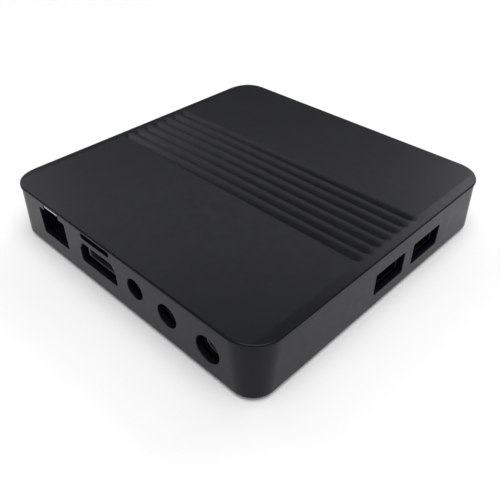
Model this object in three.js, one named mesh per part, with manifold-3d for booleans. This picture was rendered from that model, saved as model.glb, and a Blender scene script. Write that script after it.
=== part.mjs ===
// A square streaming media player on four rubber feet.
//
// Frame: millimetres, +Z up, with the origin at the centre of the underside of the feet. The side
// with the network, video, audio and power sockets faces -Y, the USB side faces +X, and the side
// turned to the room, with the infrared window, faces +Y.
//
// The lower case is one moulding of floor and walls. The top cover closes it, and carries the main
// board with its parts facing down, so the sockets hang below the board, behind the walls.

import * as THREE from 'three';
import { mergeVertices } from 'three/addons/utils/BufferGeometryUtils.js';
import Module from 'manifold-3d';

const wasm = await Module();
wasm.setup();

// ---------------------------------------------------------------------------------------------
// Driving dimensions
// ---------------------------------------------------------------------------------------------

const WIDTH = 100; // top cover's outline along X
const DEPTH = 100; // top cover's outline along Y
const CASE_HEIGHT = 17.1; // underside of the floor to the top of the cover
const FOOT_DROP = 1.0; // how far the feet stand out below the floor

const COVER_RADIUS = 8.7; // corners of the cover, in plan
const RIM_HEIGHT = 1.0; // edge of the cover that shows above the walls
const RIM_OVERHANG = 0.3; // how far it stands proud of the walls
const RIM_ROUNDING = 0.5; // its upper edge
const RIM_CHAMFER = 0.15; // its lower edge
const COVER_THICKNESS = 1.6;
const COVER_FIT = 0.15; // cover's plug to the inside of the walls
const SEAT_GAP = 0.05; // between faces that rest on each other

const WALL = 1.6;
const FLOOR = 1.6;
const WALL_FOOT_INSET = 0.45; // walls at the floor, in from the cover's outline
const WALL_FOOT_RADIUS = 6.2; // corners of the walls at the floor, in plan
const FLOOR_ROUNDING = 0.6; // edge between floor and walls
const CORNER_STEPS = 8;

const NOTCH = {
  count: 7,
  pitch: 3.95,
  firstY: 13.6, // valley furthest to +Y
  depth: 0.65,
  fall: 2.7, // convex fall towards the valley, from +Y
  valley: 0.15, // flat bottom
  rise: 0.7, // steep face at the valley's -Y side
  endInset: 2.8, // notch's end to the cover's outline
};
const EDGE_SLOPE = { width: 2.8, drop: 0.35 }; // along both X edges of the cover

const VENT = { count: 9, pitch: 4.4, width: 2.0, length: 32, rounding: 0.95, x: 2, y: 4 };
const FOOT = { radius: 6.0, recess: 0.5, fit: 0.2, bevel: 0.3, inset: 14 };

const CASE_SCREW = {
  inset: 7.5, // axis to the cover's outline
  headRadius: 2.3,
  headHeight: 1.4,
  shankRadius: 1.1,
  shankLength: 8.5,
  fit: 0.15, // shank to the cover's boss
  seatThickness: 1.5,
  postRadius: 3.5,
  postHeight: 1.8,
  counterbore: 2.7,
  bossRadius: 3.0,
};
const BOARD_SCREW = {
  inset: 7.5, // axis to the X edges
  y: [-14, 33],
  headRadius: 2.0,
  headHeight: 1.2,
  shankRadius: 0.9,
  grip: 2.1, // length inside the boss
  fit: 0.15,
  bossRadius: 2.5,
};

const BOARD_THICKNESS = 1.2;
const BOARD_BOSS = 2.0; // board's upper face to the cover's underside
const BOARD_MARGIN = 1.5; // board's edge to the inside of the walls
const BOARD_NOTCH = 4.2; // half width of the cut corner around a case screw's boss
const SOLDER_GAP = 0.02; // parts to the board
const SOCKET_SETBACK = 0.3; // socket's front to the inside of the wall

// Sockets: x or y is the place along the wall, and drop is the axis below the board's underside.
// The opening is the hole in the wall.
const NETWORK = {
  x: -28.3,
  width: 15.4,
  depth: 20.8,
  below: 9.0, // housing's bottom below the board's underside
  above: 3.05, // housing's top above it
  openingWidth: 12.5,
  openingBottom: 7.0, // below the board's underside
  openingTop: 1.7, // above it
  latchWidth: 7.0,
  latchRise: 1.75,
  cavityInset: 0.3,
  cavityDepth: 13.0,
  shieldSheet: 0.25,
  coverGap: 0.3, // shield to the cover
  boardGap: 0.5, // shield to the edge of the board's cut-out
  contactCount: 8,
  contactPitch: 1.02,
  contactWidth: 0.45,
  wireStart: 3.6, // the contacts' free ends, in from the socket's front
  wireThickness: 0.3,
  barHeight: 2.8, // the bar that holds them
  barDepth: 1.8,
};
const LEG_LENGTH = 2.2; // legs of the hanging HDMI and USB shells
const LEG_WIDTH = 1.0;
const LEG_SHARES = [0.25, 0.75]; // their places along the shell
const HDMI = {
  x: -7.2,
  drop: 3.35,
  openingWidth: 15.7,
  openingHeight: 6.6,
  width: 15.0,
  height: 5.6,
  sheet: 0.4,
  depth: 11.8,
  slantWidth: 1.5,
  slantHeight: 2.4,
  tongueWidth: 11.8,
  tongueHeight: 1.3,
  tongueSetback: 2.2,
  blockDepth: 3.2,
};
const USB = {
  y: [1.4, 18.9],
  drop: 4.57,
  openingWidth: 13.1,
  openingHeight: 6.75,
  width: 13.1,
  height: 5.8,
  sheet: 0.3,
  depth: 13.9,
  tongueWidth: 11.1,
  tongueHeight: 1.84,
  tongueDrop: 1.0, // tongue's middle below the socket's axis
  tongueSetback: 1.4,
  blockDepth: 3.6,
};
const ROUND_SOCKETS = {
  av_jack: {
    x: 8.7, drop: 2.6, opening: 3.0, collar: 2.8, width: 6.6, below: 2.5, depth: 12, bore: 1.85,
  },
  audio_jack: {
    x: 20.9, drop: 3.5, opening: 3.35, collar: 3.15, width: 7.4, below: 3.4, depth: 12.5, bore: 1.85,
  },
  power_jack: {
    x: 35.0, drop: 4.3, opening: 3.85, collar: 3.65, width: 8.4, below: 4.1, depth: 13.4, bore: 3.0,
  },
};
const BORE_DEPTHS = { av_jack: 10.5, audio_jack: 11, power_jack: 9.6 };
const COLLAR_DEPTH = 0.8;
const POWER_PIN = { radius: 0.95, setback: 1.6, fit: 0.1 };

const CARD = {
  x: -7.4,
  openingWidth: 12.5,
  openingHeight: 1.8,
  openingRise: 1.45, // slot's middle above the board's upper face
  width: 14.5,
  depth: 14.4,
  height: 1.5,
  bottom: 0.4,
  channelLeft: 5.9, // inside of the channel for card and slider, from the socket's middle
  channelRight: 6.7,
  backWall: 1.0,
  sheet: 0.2,
  skirt: 1.1,
  fit: 0.05,
};
const CARD_SLIDER = {
  width: 1.1,
  length: 4.4,
  height: 0.85,
  y: 5.2, // its outer end, in from the socket's front
  noseWidth: 1.3, // the nose that the card pushes
  noseLength: 1.2,
  fit: 0.1,
};
const CARD_SPRING = { length: 3.4, radius: 0.33, wire: 0.09, turns: 5, sides: 5, stepsPerTurn: 7 };

const RESET = {
  x: -26,
  y: 34,
  width: 6.0,
  height: 3.4,
  boreRadius: 1.85,
  boreDepth: 2.0,
  plungerRadius: 1.7,
  plungerLength: 3.0,
  plungerBevel: 0.3,
  plungerGap: 0.5, // plunger's top to the bore's end
  pinHole: 1.1, // radius of the hole in the floor
};

const WINDOW = {
  x: -16,
  drop: 3.1,
  width: 17,
  height: 5.0,
  radius: 1.2,
  lip: 0.8, // rim of the window behind the wall
  lipThickness: 0.6,
  fit: 0.1,
};
const RECEIVER = { x: -12.5, width: 6.0, depth: 4.4, height: 6.4, lensRadius: 1.7 };
const LED = {
  x: -20.5,
  radius: 1.5,
  length: 4.6,
  holderWidth: 4.4,
  holderDepth: 3.4,
  holderBack: 0.4, // holder's wall behind the light
  holderBelow: 1.0, // holder's wall under the light
  fit: 0.1,
};
const LENS_GAP = 0.3; // lenses to the window's lip

const PROCESSOR = { x: 2, y: 4, size: 19, height: 1.2 };
const THERMAL_PAD = 0.5;
const HEAT_SINK = { width: 40, depth: 34, base: 1.6, finHeight: 4.4, finWidth: 1.0, fins: 10 };

// Small parts under the board: middle x and y, size along x and y, height below the board.
const CHIPS = {
  memory_chip_1: { x: 16.5, y: 10, size: [8, 12, 1.0], finish: 'chip' },
  memory_chip_2: { x: 16.5, y: -4, size: [8, 12, 1.0], finish: 'chip' },
  flash_chip: { x: -14.5, y: 4, size: [11.5, 13, 1.0], finish: 'chip' },
  power_chip: { x: 38, y: -22, size: [7, 7, 0.9], finish: 'chip' },
  inductor_1: { x: 29.5, y: -26, size: [5.4, 5.4, 2.9], finish: 'ferrite' },
  inductor_2: { x: 29.5, y: -18.5, size: [5.4, 5.4, 2.9], finish: 'ferrite' },
  crystal: { x: -9, y: -9, size: [3.2, 2.5, 0.8], finish: 'tin' },
  network_transformer: { x: -28.3, y: -19.5, size: [12.7, 9.2, 5.5], finish: 'chip' },
};
const CAPACITORS = [[13.5, -27.5], [21.5, -27.5]];
const CAPACITOR = { radius: 3.15, height: 5.6, crimp: 0.15, crimpHeight: 0.8 };

const WIFI = {
  x: -30,
  y: 14,
  width: 14,
  depth: 12,
  board: 0.8,
  shieldWidth: 10,
  shieldDepth: 10.4,
  shieldHeight: 1.6,
};
const WIFI_SHIELD_SHIFT = 1.4; // shield's middle towards +X, which leaves room for the lead's plug
const LEAD_PLUG = { radius: 1.1, height: 1.2, inset: 1.6 };
const LEAD = { radius: 0.5, sides: 8, steps: 18, gap: 0.3, bend: 2.5 };
const ANTENNA = { y: 12, length: 30, height: 8, thickness: 0.3, wallGap: 0.15, drop: 5.4 };

// ---------------------------------------------------------------------------------------------
// Levels and places that follow from them
// ---------------------------------------------------------------------------------------------

const FLOOR_TOP = FOOT_DROP + FLOOR;
const TOP = FOOT_DROP + CASE_HEIGHT;
const RIM_BOTTOM = TOP - RIM_HEIGHT;
const WALL_TOP = RIM_BOTTOM - SEAT_GAP;
const COVER_UNDERSIDE = TOP - COVER_THICKNESS;
const BOARD_TOP = COVER_UNDERSIDE - BOARD_BOSS;
const BOARD_UNDERSIDE = BOARD_TOP - BOARD_THICKNESS;
const INSET_INSIDE = WALL_FOOT_INSET + WALL; // the walls' inside, at its narrowest
const INNER_X = WIDTH / 2 - INSET_INSIDE;
const INNER_Y = DEPTH / 2 - INSET_INSIDE;
const FRONT_Y = -INNER_Y + SOCKET_SETBACK; // fronts of the sockets in the port wall
const NETWORK_ROOM = NETWORK.width + 2 * (NETWORK.shieldSheet + NETWORK.boardGap);
const NETWORK_END_Y = FRONT_Y + NETWORK.depth + 2 * NETWORK.boardGap;
const POST_TOP = FLOOR_TOP + CASE_SCREW.postHeight;
const SCREW_SEAT = POST_TOP - CASE_SCREW.seatThickness;
const DOME_ANGLES = [0, 30, 60]; // rings of a domed end
const MARGIN = 1; // how far a cutting body runs past what it cuts
const SMALL_ROUNDING = 0.4; // corners of the socket openings

const CORNERS = [[-1, -1], [1, -1], [1, 1], [-1, 1]];
const CORNER_NAMES = ['port_left', 'port_right', 'room_right', 'room_left'];
const cornerPlaces = (inset) => CORNERS.map(([x, y]) => [x * (WIDTH / 2 - inset), y * (DEPTH / 2 - inset)]);
const CASE_SCREW_PLACES = cornerPlaces(CASE_SCREW.inset);
const FOOT_PLACES = cornerPlaces(FOOT.inset);
const BOARD_SCREW_X = WIDTH / 2 - BOARD_SCREW.inset;
const BOARD_SCREW_PLACES = BOARD_SCREW.y.flatMap((y) => [[-BOARD_SCREW_X, y], [BOARD_SCREW_X, y]]);

// ---------------------------------------------------------------------------------------------
// Finishes
// ---------------------------------------------------------------------------------------------

const FINISHES = {
  cover: { color: 0x2b2d30, roughness: 0.38, metalness: 0 },
  wall: { color: 0x2f2f32, roughness: 0.34, metalness: 0 },
  rubber: { color: 0x1a1a1b, roughness: 0.85, metalness: 0 },
  screw: { color: 0x35363a, roughness: 0.35, metalness: 1 },
  board: { color: 0x14432c, roughness: 0.45, metalness: 0 },
  chip: { color: 0x17181a, roughness: 0.55, metalness: 0 },
  ferrite: { color: 0x3c3d40, roughness: 0.7, metalness: 0 },
  tin: { color: 0xb9bcc0, roughness: 0.3, metalness: 1 },
  gold: { color: 0xc79a3e, roughness: 0.25, metalness: 1 },
  insulator: { color: 0x111112, roughness: 0.5, metalness: 0 },
  pad: { color: 0x7d8fa3, roughness: 0.8, metalness: 0 },
  aluminium: { color: 0x9a9da1, roughness: 0.35, metalness: 1 },
  slider: { color: 0xd8d5cc, roughness: 0.5, metalness: 0 },
  window: { color: 0x0b0708, roughness: 0.1, metalness: 0 },
  lens: { color: 0x9fc3ea, roughness: 0.15, metalness: 0 },
  foil: { color: 0xa8753a, roughness: 0.4, metalness: 0 },
  jacket: { color: 0x1c1c1d, roughness: 0.5, metalness: 0 },
};

// ---------------------------------------------------------------------------------------------
// Geometry helpers
// ---------------------------------------------------------------------------------------------

// A closed geometry as a solid that can be joined and cut.
function solid(geometry) {
  const bare = geometry.clone();
  bare.deleteAttribute('normal');
  bare.deleteAttribute('uv');
  const merged = mergeVertices(bare);
  return new wasm.Manifold(new wasm.Mesh({
    numProp: 3,
    vertProperties: merged.attributes.position.array,
    triVerts: Uint32Array.from(merged.index.array),
  }));
}

function geometryOf(body) {
  const mesh = body.getMesh();
  const geometry = new THREE.BufferGeometry();
  geometry.setAttribute('position', new THREE.BufferAttribute(mesh.vertProperties, 3));
  geometry.setIndex(new THREE.BufferAttribute(mesh.triVerts, 1));
  geometry.computeVertexNormals();
  return geometry;
}

// The first geometry with those in joined added, and then those in cuts taken away.
function carve(first, cuts, joined = []) {
  let body = solid(first);
  for (const geometry of joined) body = body.add(solid(geometry));
  for (const geometry of cuts) body = body.subtract(solid(geometry));
  return geometryOf(body);
}

// A box from its lower and upper limit along each axis.
function box([x0, x1], [y0, y1], [z0, z1]) {
  const geometry = new THREE.BoxGeometry(x1 - x0, y1 - y0, z1 - z0);
  geometry.translate((x0 + x1) / 2, (y0 + y1) / 2, (z0 + z1) / 2);
  return geometry;
}

const spread = (middle, size) => [middle - size / 2, middle + size / 2];

// For each axis, the directions that a drawing's first, second and extruded directions take.
const DRAWN = {
  x: [[0, 1, 0], [0, 0, 1], [1, 0, 0]],
  y: [[1, 0, 0], [0, 0, 1], [0, -1, 0]],
  z: [[1, 0, 0], [0, 1, 0], [0, 0, 1]],
};

// Extrudes a shape along an axis between two coordinates. The shape is drawn in x and y for z, in
// x and z for y, and in y and z for x.
function extrude(shape, axis, low, high, curveSegments = 2) {
  const options = { depth: high - low, bevelEnabled: false, curveSegments };
  const geometry = new THREE.ExtrudeGeometry(shape, options);
  const directions = DRAWN[axis].map((direction) => new THREE.Vector3(...direction));
  geometry.applyMatrix4(new THREE.Matrix4().makeBasis(...directions));
  geometry.translate(axis === 'x' ? low : 0, axis === 'y' ? high : 0, axis === 'z' ? low : 0);
  return geometry;
}

// A cylinder along an axis between two coordinates, with its middle given as in a drawing.
function cylinder(radius, axis, [a, b], low, high, sides = 16) {
  const geometry = new THREE.CylinderGeometry(radius, radius, high - low, sides);
  const middle = (low + high) / 2;
  if (axis === 'x') geometry.rotateZ(Math.PI / 2).translate(middle, a, b);
  if (axis === 'y') geometry.translate(a, middle, b);
  if (axis === 'z') geometry.rotateX(Math.PI / 2).translate(a, b, middle);
  return geometry;
}

function roundedRectangle(x, y, width, height, radius) {
  const shape = new THREE.Shape();
  const right = width / 2 - radius;
  const up = height / 2 - radius;
  shape.absarc(x + right, y - up, radius, -Math.PI / 2, 0);
  shape.absarc(x + right, y + up, radius, 0, Math.PI / 2);
  shape.absarc(x - right, y + up, radius, Math.PI / 2, Math.PI);
  shape.absarc(x - right, y - up, radius, Math.PI, 1.5 * Math.PI);
  return shape;
}

function polygon(points) {
  return new THREE.Shape(points.map(([x, y]) => new THREE.Vector2(x, y)));
}

// A round wire along a path, with flat ends.
function wireAlong(path, radius, sides, steps) {
  const section = polygon(Array.from({ length: sides }, (_, i) => {
    const angle = (i / sides) * 2 * Math.PI;
    return [radius * Math.cos(angle), radius * Math.sin(angle)];
  }));
  return new THREE.ExtrudeGeometry(section, { extrudePath: path, steps });
}

// One ring of a loft: a rounded rectangle, in from the cover's outline by inset.
function ring(inset, radius, z) {
  return { width: WIDTH - 2 * inset, depth: DEPTH - 2 * inset, radius, z };
}

function ringPoints({ width, depth, radius, z }) {
  const points = [];
  CORNERS.forEach(([sideX, sideY], corner) => {
    const x = sideX * (width / 2 - radius);
    const y = sideY * (depth / 2 - radius);
    for (let step = 0; step <= CORNER_STEPS; step += 1) {
      const angle = Math.PI + (corner + step / CORNER_STEPS) * (Math.PI / 2);
      points.push([x + radius * Math.cos(angle), y + radius * Math.sin(angle), z]);
    }
  });
  return points;
}

// A closed body through a stack of rings, from the lowest to the highest.
function loft(rings) {
  const count = 4 * (CORNER_STEPS + 1);
  const vertices = rings.flatMap((each) => ringPoints(each).flat());
  const bottom = rings.length * count;
  const top = bottom + 1;
  vertices.push(0, 0, rings[0].z, 0, 0, rings[rings.length - 1].z);
  const faces = [];
  for (let i = 0; i < count; i += 1) {
    const next = (i + 1) % count;
    for (let level = 0; level < rings.length - 1; level += 1) {
      const low = level * count;
      const high = low + count;
      faces.push(low + i, low + next, high + next, low + i, high + next, high + i);
    }
    faces.push(bottom, next, i, top, bottom - count + i, bottom - count + next);
  }
  const geometry = new THREE.BufferGeometry();
  geometry.setAttribute('position', new THREE.Float32BufferAttribute(vertices, 3));
  geometry.setIndex(faces);
  geometry.computeVertexNormals();
  return geometry;
}

// A rod along y from the origin, with a domed end at its far end.
function lyingRod(radius, length) {
  const dome = DOME_ANGLES.map((degrees) => {
    const angle = THREE.MathUtils.degToRad(degrees);
    return [radius * Math.cos(angle), length - radius + radius * Math.sin(angle)];
  });
  return turned([[0, 0], [radius, 0], ...dome, [0, length]]).rotateX(-Math.PI / 2);
}

// A body of revolution about Z, from [radius, z] points that start and end on the axis, lowest first.
function turned(profile, sides = 16) {
  const geometry = new THREE.LatheGeometry(profile.map(([r, z]) => new THREE.Vector2(r, z)), sides);
  return geometry.rotateX(Math.PI / 2);
}

// ---------------------------------------------------------------------------------------------
// Scene graph
// ---------------------------------------------------------------------------------------------

const player = new THREE.Group();
const electronics = new THREE.Group(); // its z = 0 is the board's underside
electronics.position.z = BOARD_UNDERSIDE;
player.add(electronics);

function place(name, geometry, finish, parent, position = [0, 0, 0]) {
  const mesh = new THREE.Mesh(geometry, new THREE.MeshStandardMaterial(FINISHES[finish]));
  mesh.name = name;
  mesh.position.set(...position);
  parent.add(mesh);
}

function groupAt(parent, position, turn = 0) {
  const group = new THREE.Group();
  group.position.set(...position);
  group.rotation.z = turn;
  parent.add(group);
  return group;
}

// ---------------------------------------------------------------------------------------------
// Lower case
// ---------------------------------------------------------------------------------------------

// The walls' outline at a height, moved inwards by offset.
function wallRing(z, offset) {
  const share = (z - FOOT_DROP) / (RIM_BOTTOM - FOOT_DROP);
  const inset = THREE.MathUtils.lerp(WALL_FOOT_INSET, RIM_OVERHANG, share);
  const radius = THREE.MathUtils.lerp(WALL_FOOT_RADIUS, COVER_RADIUS - RIM_OVERHANG, share);
  return ring(inset + offset, radius - offset, z);
}

function caseOutside() {
  const rings = [0, 30, 60, 90].map((degrees) => {
    const angle = THREE.MathUtils.degToRad(degrees);
    const z = FOOT_DROP + FLOOR_ROUNDING * (1 - Math.cos(angle));
    return wallRing(z, FLOOR_ROUNDING * (1 - Math.sin(angle)));
  });
  return loft([...rings, wallRing(WALL_TOP, 0)]);
}

const portWall = (shape) => extrude(shape, 'y', -DEPTH / 2 - MARGIN, -INNER_Y + MARGIN);
const usbWall = (shape) => extrude(shape, 'x', INNER_X - MARGIN, WIDTH / 2 + MARGIN);
const roomWall = (shape) => extrude(shape, 'y', INNER_Y - MARGIN, DEPTH / 2 + MARGIN);

function networkOpening() {
  const middle = BOARD_UNDERSIDE + (NETWORK.openingTop - NETWORK.openingBottom) / 2;
  const height = NETWORK.openingTop + NETWORK.openingBottom;
  const latchMiddle = BOARD_UNDERSIDE + NETWORK.openingTop + (NETWORK.latchRise - MARGIN) / 2;
  const latchHeight = NETWORK.latchRise + MARGIN;
  return [
    portWall(roundedRectangle(NETWORK.x, middle, NETWORK.openingWidth, height, SMALL_ROUNDING)),
    portWall(roundedRectangle(NETWORK.x, latchMiddle, NETWORK.latchWidth, latchHeight, SMALL_ROUNDING / 2)),
  ];
}

// The outline of the HDMI socket, wide side down, about its axis.
function hdmiOutline(x, z, width, height) {
  const half = width / 2;
  return polygon([
    [x - half, z - height / 2],
    [x + half, z - height / 2],
    [x + half, z + height / 2 - HDMI.slantHeight],
    [x + half - HDMI.slantWidth, z + height / 2],
    [x - half + HDMI.slantWidth, z + height / 2],
    [x - half, z + height / 2 - HDMI.slantHeight],
  ]);
}

function socketOpenings() {
  const slotZ = BOARD_TOP + CARD.openingRise;
  const hdmiZ = BOARD_UNDERSIDE - HDMI.drop;
  const usbZ = BOARD_UNDERSIDE - USB.drop;
  return [
    ...networkOpening(),
    portWall(roundedRectangle(CARD.x, slotZ, CARD.openingWidth, CARD.openingHeight, CARD.openingHeight / 2)),
    portWall(hdmiOutline(HDMI.x, hdmiZ, HDMI.openingWidth, HDMI.openingHeight)),
    ...Object.values(ROUND_SOCKETS).map(({ x, drop, opening }) => (
      cylinder(opening, 'y', [x, BOARD_UNDERSIDE - drop], -DEPTH / 2 - MARGIN, -INNER_Y + MARGIN, 24))),
    ...USB.y.map((y) => (
      usbWall(roundedRectangle(y, usbZ, USB.openingWidth, USB.openingHeight, SMALL_ROUNDING)))),
  ];
}

function windowOpening() {
  const { x, drop, width, height, radius } = WINDOW;
  return roomWall(roundedRectangle(x, BOARD_UNDERSIDE - drop, width, height, radius));
}

function floorOpenings() {
  const through = [FOOT_DROP - MARGIN, FLOOR_TOP + MARGIN];
  const vents = Array.from({ length: VENT.count }, (_, i) => {
    const x = VENT.x + (i - (VENT.count - 1) / 2) * VENT.pitch;
    return extrude(roundedRectangle(x, VENT.y, VENT.width, VENT.length, VENT.rounding), 'z', ...through, 1);
  });
  const recesses = FOOT_PLACES.map((at) => (
    cylinder(FOOT.radius + FOOT.fit, 'z', at, FOOT_DROP - MARGIN, FOOT_DROP + FOOT.recess, 24)));
  const counterbores = CASE_SCREW_PLACES.flatMap((at) => [
    cylinder(CASE_SCREW.counterbore, 'z', at, FOOT_DROP - MARGIN, SCREW_SEAT),
    cylinder(CASE_SCREW.shankRadius + 2 * CASE_SCREW.fit, 'z', at, SCREW_SEAT - MARGIN, POST_TOP + MARGIN),
  ]);
  const pinHole = cylinder(RESET.pinHole, 'z', [RESET.x, RESET.y], ...through, 16);
  return [...vents, ...recesses, ...counterbores, pinHole];
}

function lowerCase() {
  const inside = loft([wallRing(FLOOR_TOP, WALL), wallRing(RIM_BOTTOM + MARGIN, WALL)]);
  const walls = carve(caseOutside(), [inside]);
  const posts = CASE_SCREW_PLACES.map((at) => (
    cylinder(CASE_SCREW.postRadius, 'z', at, FLOOR_TOP - FLOOR / 2, POST_TOP)));
  return carve(walls, [...socketOpenings(), windowOpening(), ...floorOpenings()], posts);
}

// ---------------------------------------------------------------------------------------------
// Top cover
// ---------------------------------------------------------------------------------------------

function coverPlate() {
  const edge = [0, 30, 60, 90].map((degrees) => {
    const angle = THREE.MathUtils.degToRad(degrees);
    const inset = RIM_ROUNDING * (1 - Math.cos(angle));
    return ring(inset, COVER_RADIUS - inset, TOP - RIM_ROUNDING * (1 - Math.sin(angle)));
  });
  return loft([
    ring(RIM_CHAMFER, COVER_RADIUS - RIM_CHAMFER, RIM_BOTTOM),
    ring(0, COVER_RADIUS, RIM_BOTTOM + RIM_CHAMFER),
    ...edge,
  ]);
}

// One notch across the cover: a convex fall from +Y, a narrow valley and a steep rise.
function notch(valleyY) {
  const { depth, fall, valley, rise } = NOTCH;
  const bottom = TOP - depth;
  const foot = valleyY - valley;
  const shape = new THREE.Shape();
  shape.moveTo(valleyY + fall, TOP + MARGIN);
  shape.lineTo(foot - rise, TOP + MARGIN);
  shape.lineTo(foot - rise, TOP);
  shape.quadraticCurveTo(foot - rise / 3, TOP, foot, bottom);
  shape.lineTo(valleyY, bottom);
  shape.quadraticCurveTo(valleyY + fall / 2, TOP, valleyY + fall, TOP);
  return extrude(shape, 'x', NOTCH.endInset - WIDTH / 2, WIDTH / 2 - NOTCH.endInset, 5);
}

// The wedge above the sloping band along one X edge.
function edgeWedge(side) {
  const { width, drop } = EDGE_SLOPE;
  const inner = WIDTH / 2 - width;
  const outer = WIDTH / 2 + MARGIN;
  const low = TOP - drop * (1 + MARGIN / width);
  const points = [[inner, TOP], [outer, low], [outer, TOP + MARGIN], [inner, TOP + MARGIN]];
  const shape = polygon(points.map(([x, z]) => [side * x, z]));
  return extrude(shape, 'y', -DEPTH / 2 - MARGIN, DEPTH / 2 + MARGIN);
}

function coverBosses() {
  const top = COVER_UNDERSIDE + COVER_THICKNESS / 4;
  const caseBosses = CASE_SCREW_PLACES.map((at) => (
    cylinder(CASE_SCREW.bossRadius, 'z', at, POST_TOP + SEAT_GAP, top)));
  const boardBosses = BOARD_SCREW_PLACES.map((at) => (
    cylinder(BOARD_SCREW.bossRadius, 'z', at, BOARD_TOP + SEAT_GAP, top)));
  return [...caseBosses, ...boardBosses];
}

function coverBores() {
  const caseBore = CASE_SCREW.shankRadius + CASE_SCREW.fit;
  const caseBores = CASE_SCREW_PLACES.map((at) => (
    cylinder(caseBore, 'z', at, POST_TOP - MARGIN, SCREW_SEAT + CASE_SCREW.shankLength + MARGIN)));
  const boardBore = BOARD_SCREW.shankRadius + BOARD_SCREW.fit;
  const boardBoreEnd = BOARD_TOP + BOARD_SCREW.grip + BOARD_SCREW.fit;
  const boardBores = BOARD_SCREW_PLACES.map((at) => (
    cylinder(boardBore, 'z', at, BOARD_TOP - MARGIN, boardBoreEnd)));
  return [...caseBores, ...boardBores];
}

// The pocket above the network socket, whose shield reaches into the cover's thickness.
function networkPocket() {
  const top = BOARD_UNDERSIDE + NETWORK.above + NETWORK.shieldSheet + NETWORK.coverGap;
  const across = [-INNER_Y - WALL / 2, NETWORK_END_Y];
  return box(spread(NETWORK.x, NETWORK_ROOM), across, [COVER_UNDERSIDE - MARGIN, top]);
}

// The pocket behind the card slot, so that the cover's plug doesn't stand in the card's way.
function cardPocket() {
  const wide = CARD.openingWidth + 1;
  const top = BOARD_TOP + CARD.openingRise + CARD.openingHeight / 2;
  return box(spread(CARD.x, wide), [-INNER_Y - WALL / 2, -INNER_Y + WALL], [COVER_UNDERSIDE - MARGIN, top]);
}

function topCover() {
  const plug = loft([
    wallRing(COVER_UNDERSIDE, WALL + COVER_FIT),
    wallRing(RIM_BOTTOM + RIM_HEIGHT / 4, WALL + COVER_FIT),
  ]);
  const notches = Array.from({ length: NOTCH.count }, (_, i) => notch(NOTCH.firstY - i * NOTCH.pitch));
  const cuts = [...notches, edgeWedge(-1), edgeWedge(1), ...coverBores(), networkPocket(), cardPocket()];
  return carve(coverPlate(), cuts, [plug, ...coverBosses()]);
}

// ---------------------------------------------------------------------------------------------
// Feet and screws
// ---------------------------------------------------------------------------------------------

function foot() {
  const { radius, recess, bevel } = FOOT;
  const height = FOOT_DROP + recess - SEAT_GAP;
  return turned([[0, 0], [radius - bevel, 0], [radius, bevel], [radius, height], [0, height]], 24);
}

// A pan-head screw with its head's seat at z = 0, its shank above it and a pointed end.
function screw({ headRadius, headHeight, shankRadius }, length) {
  const bevel = headHeight / 3;
  return turned([
    [0, -headHeight],
    [headRadius - bevel, -headHeight],
    [headRadius, bevel - headHeight],
    [headRadius, 0],
    [shankRadius, 0],
    [shankRadius, length - shankRadius],
    [0, length],
  ]);
}

function addHousing() {
  place('lower_case', lowerCase(), 'wall', player);
  place('top_cover', topCover(), 'cover', player);
  CORNER_NAMES.forEach((name, i) => {
    const seat = [...CASE_SCREW_PLACES[i], SCREW_SEAT - SEAT_GAP];
    place(`foot_${name}`, foot(), 'rubber', player, [...FOOT_PLACES[i], 0]);
    place(`case_screw_${name}`, screw(CASE_SCREW, CASE_SCREW.shankLength), 'screw', player, seat);
  });
}

// ---------------------------------------------------------------------------------------------
// Main board and what is soldered to it
// ---------------------------------------------------------------------------------------------

function mainBoard() {
  const x = INNER_X - BOARD_MARGIN;
  const y = INNER_Y - BOARD_MARGIN;
  const through = [-MARGIN, BOARD_THICKNESS + MARGIN];
  const notches = CASE_SCREW_PLACES.map(([cx, cy]) => {
    const outer = BOARD_NOTCH + CASE_SCREW.inset;
    const toX = cx + Math.sign(cx) * (outer - BOARD_NOTCH) / 2;
    const toY = cy + Math.sign(cy) * (outer - BOARD_NOTCH) / 2;
    return box(spread(toX, outer + BOARD_NOTCH), spread(toY, outer + BOARD_NOTCH), through);
  });
  const network = box(spread(NETWORK.x, NETWORK_ROOM), [-y - MARGIN, NETWORK_END_Y], through);
  const holes = BOARD_SCREW_PLACES.map((at) => (
    cylinder(BOARD_SCREW.shankRadius + 2 * BOARD_SCREW.fit, 'z', at, ...through, 16)));
  return carve(box([-x, x], [-y, y], [0, BOARD_THICKNESS]), [...notches, network, ...holes]);
}

function addBoard() {
  place('main_board', mainBoard(), 'board', electronics);
  const length = BOARD_THICKNESS + BOARD_SCREW.grip;
  const names = ['port_left', 'port_right', 'room_left', 'room_right'];
  names.forEach((name, i) => {
    const seat = [...BOARD_SCREW_PLACES[i], -SOLDER_GAP];
    place(`board_screw_${name}`, screw(BOARD_SCREW, length), 'screw', electronics, seat);
  });
}

function addChips() {
  for (const [name, { x, y, size: [width, depth, height], finish }] of Object.entries(CHIPS)) {
    const middle = [x, y, -SOLDER_GAP - height / 2];
    place(name, new THREE.BoxGeometry(width, depth, height), finish, electronics, middle);
  }
  CAPACITORS.forEach(([x, y], i) => {
    const { radius, height, crimp, crimpHeight } = CAPACITOR;
    const can = turned([
      [0, -height],
      [radius, -height],
      [radius, -2 * crimpHeight],
      [radius - crimp, -1.5 * crimpHeight],
      [radius, -crimpHeight],
      [radius, 0],
      [0, 0],
    ]);
    place(`capacitor_${i + 1}`, can, 'aluminium', electronics, [x, y, -SOLDER_GAP]);
  });
}

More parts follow.
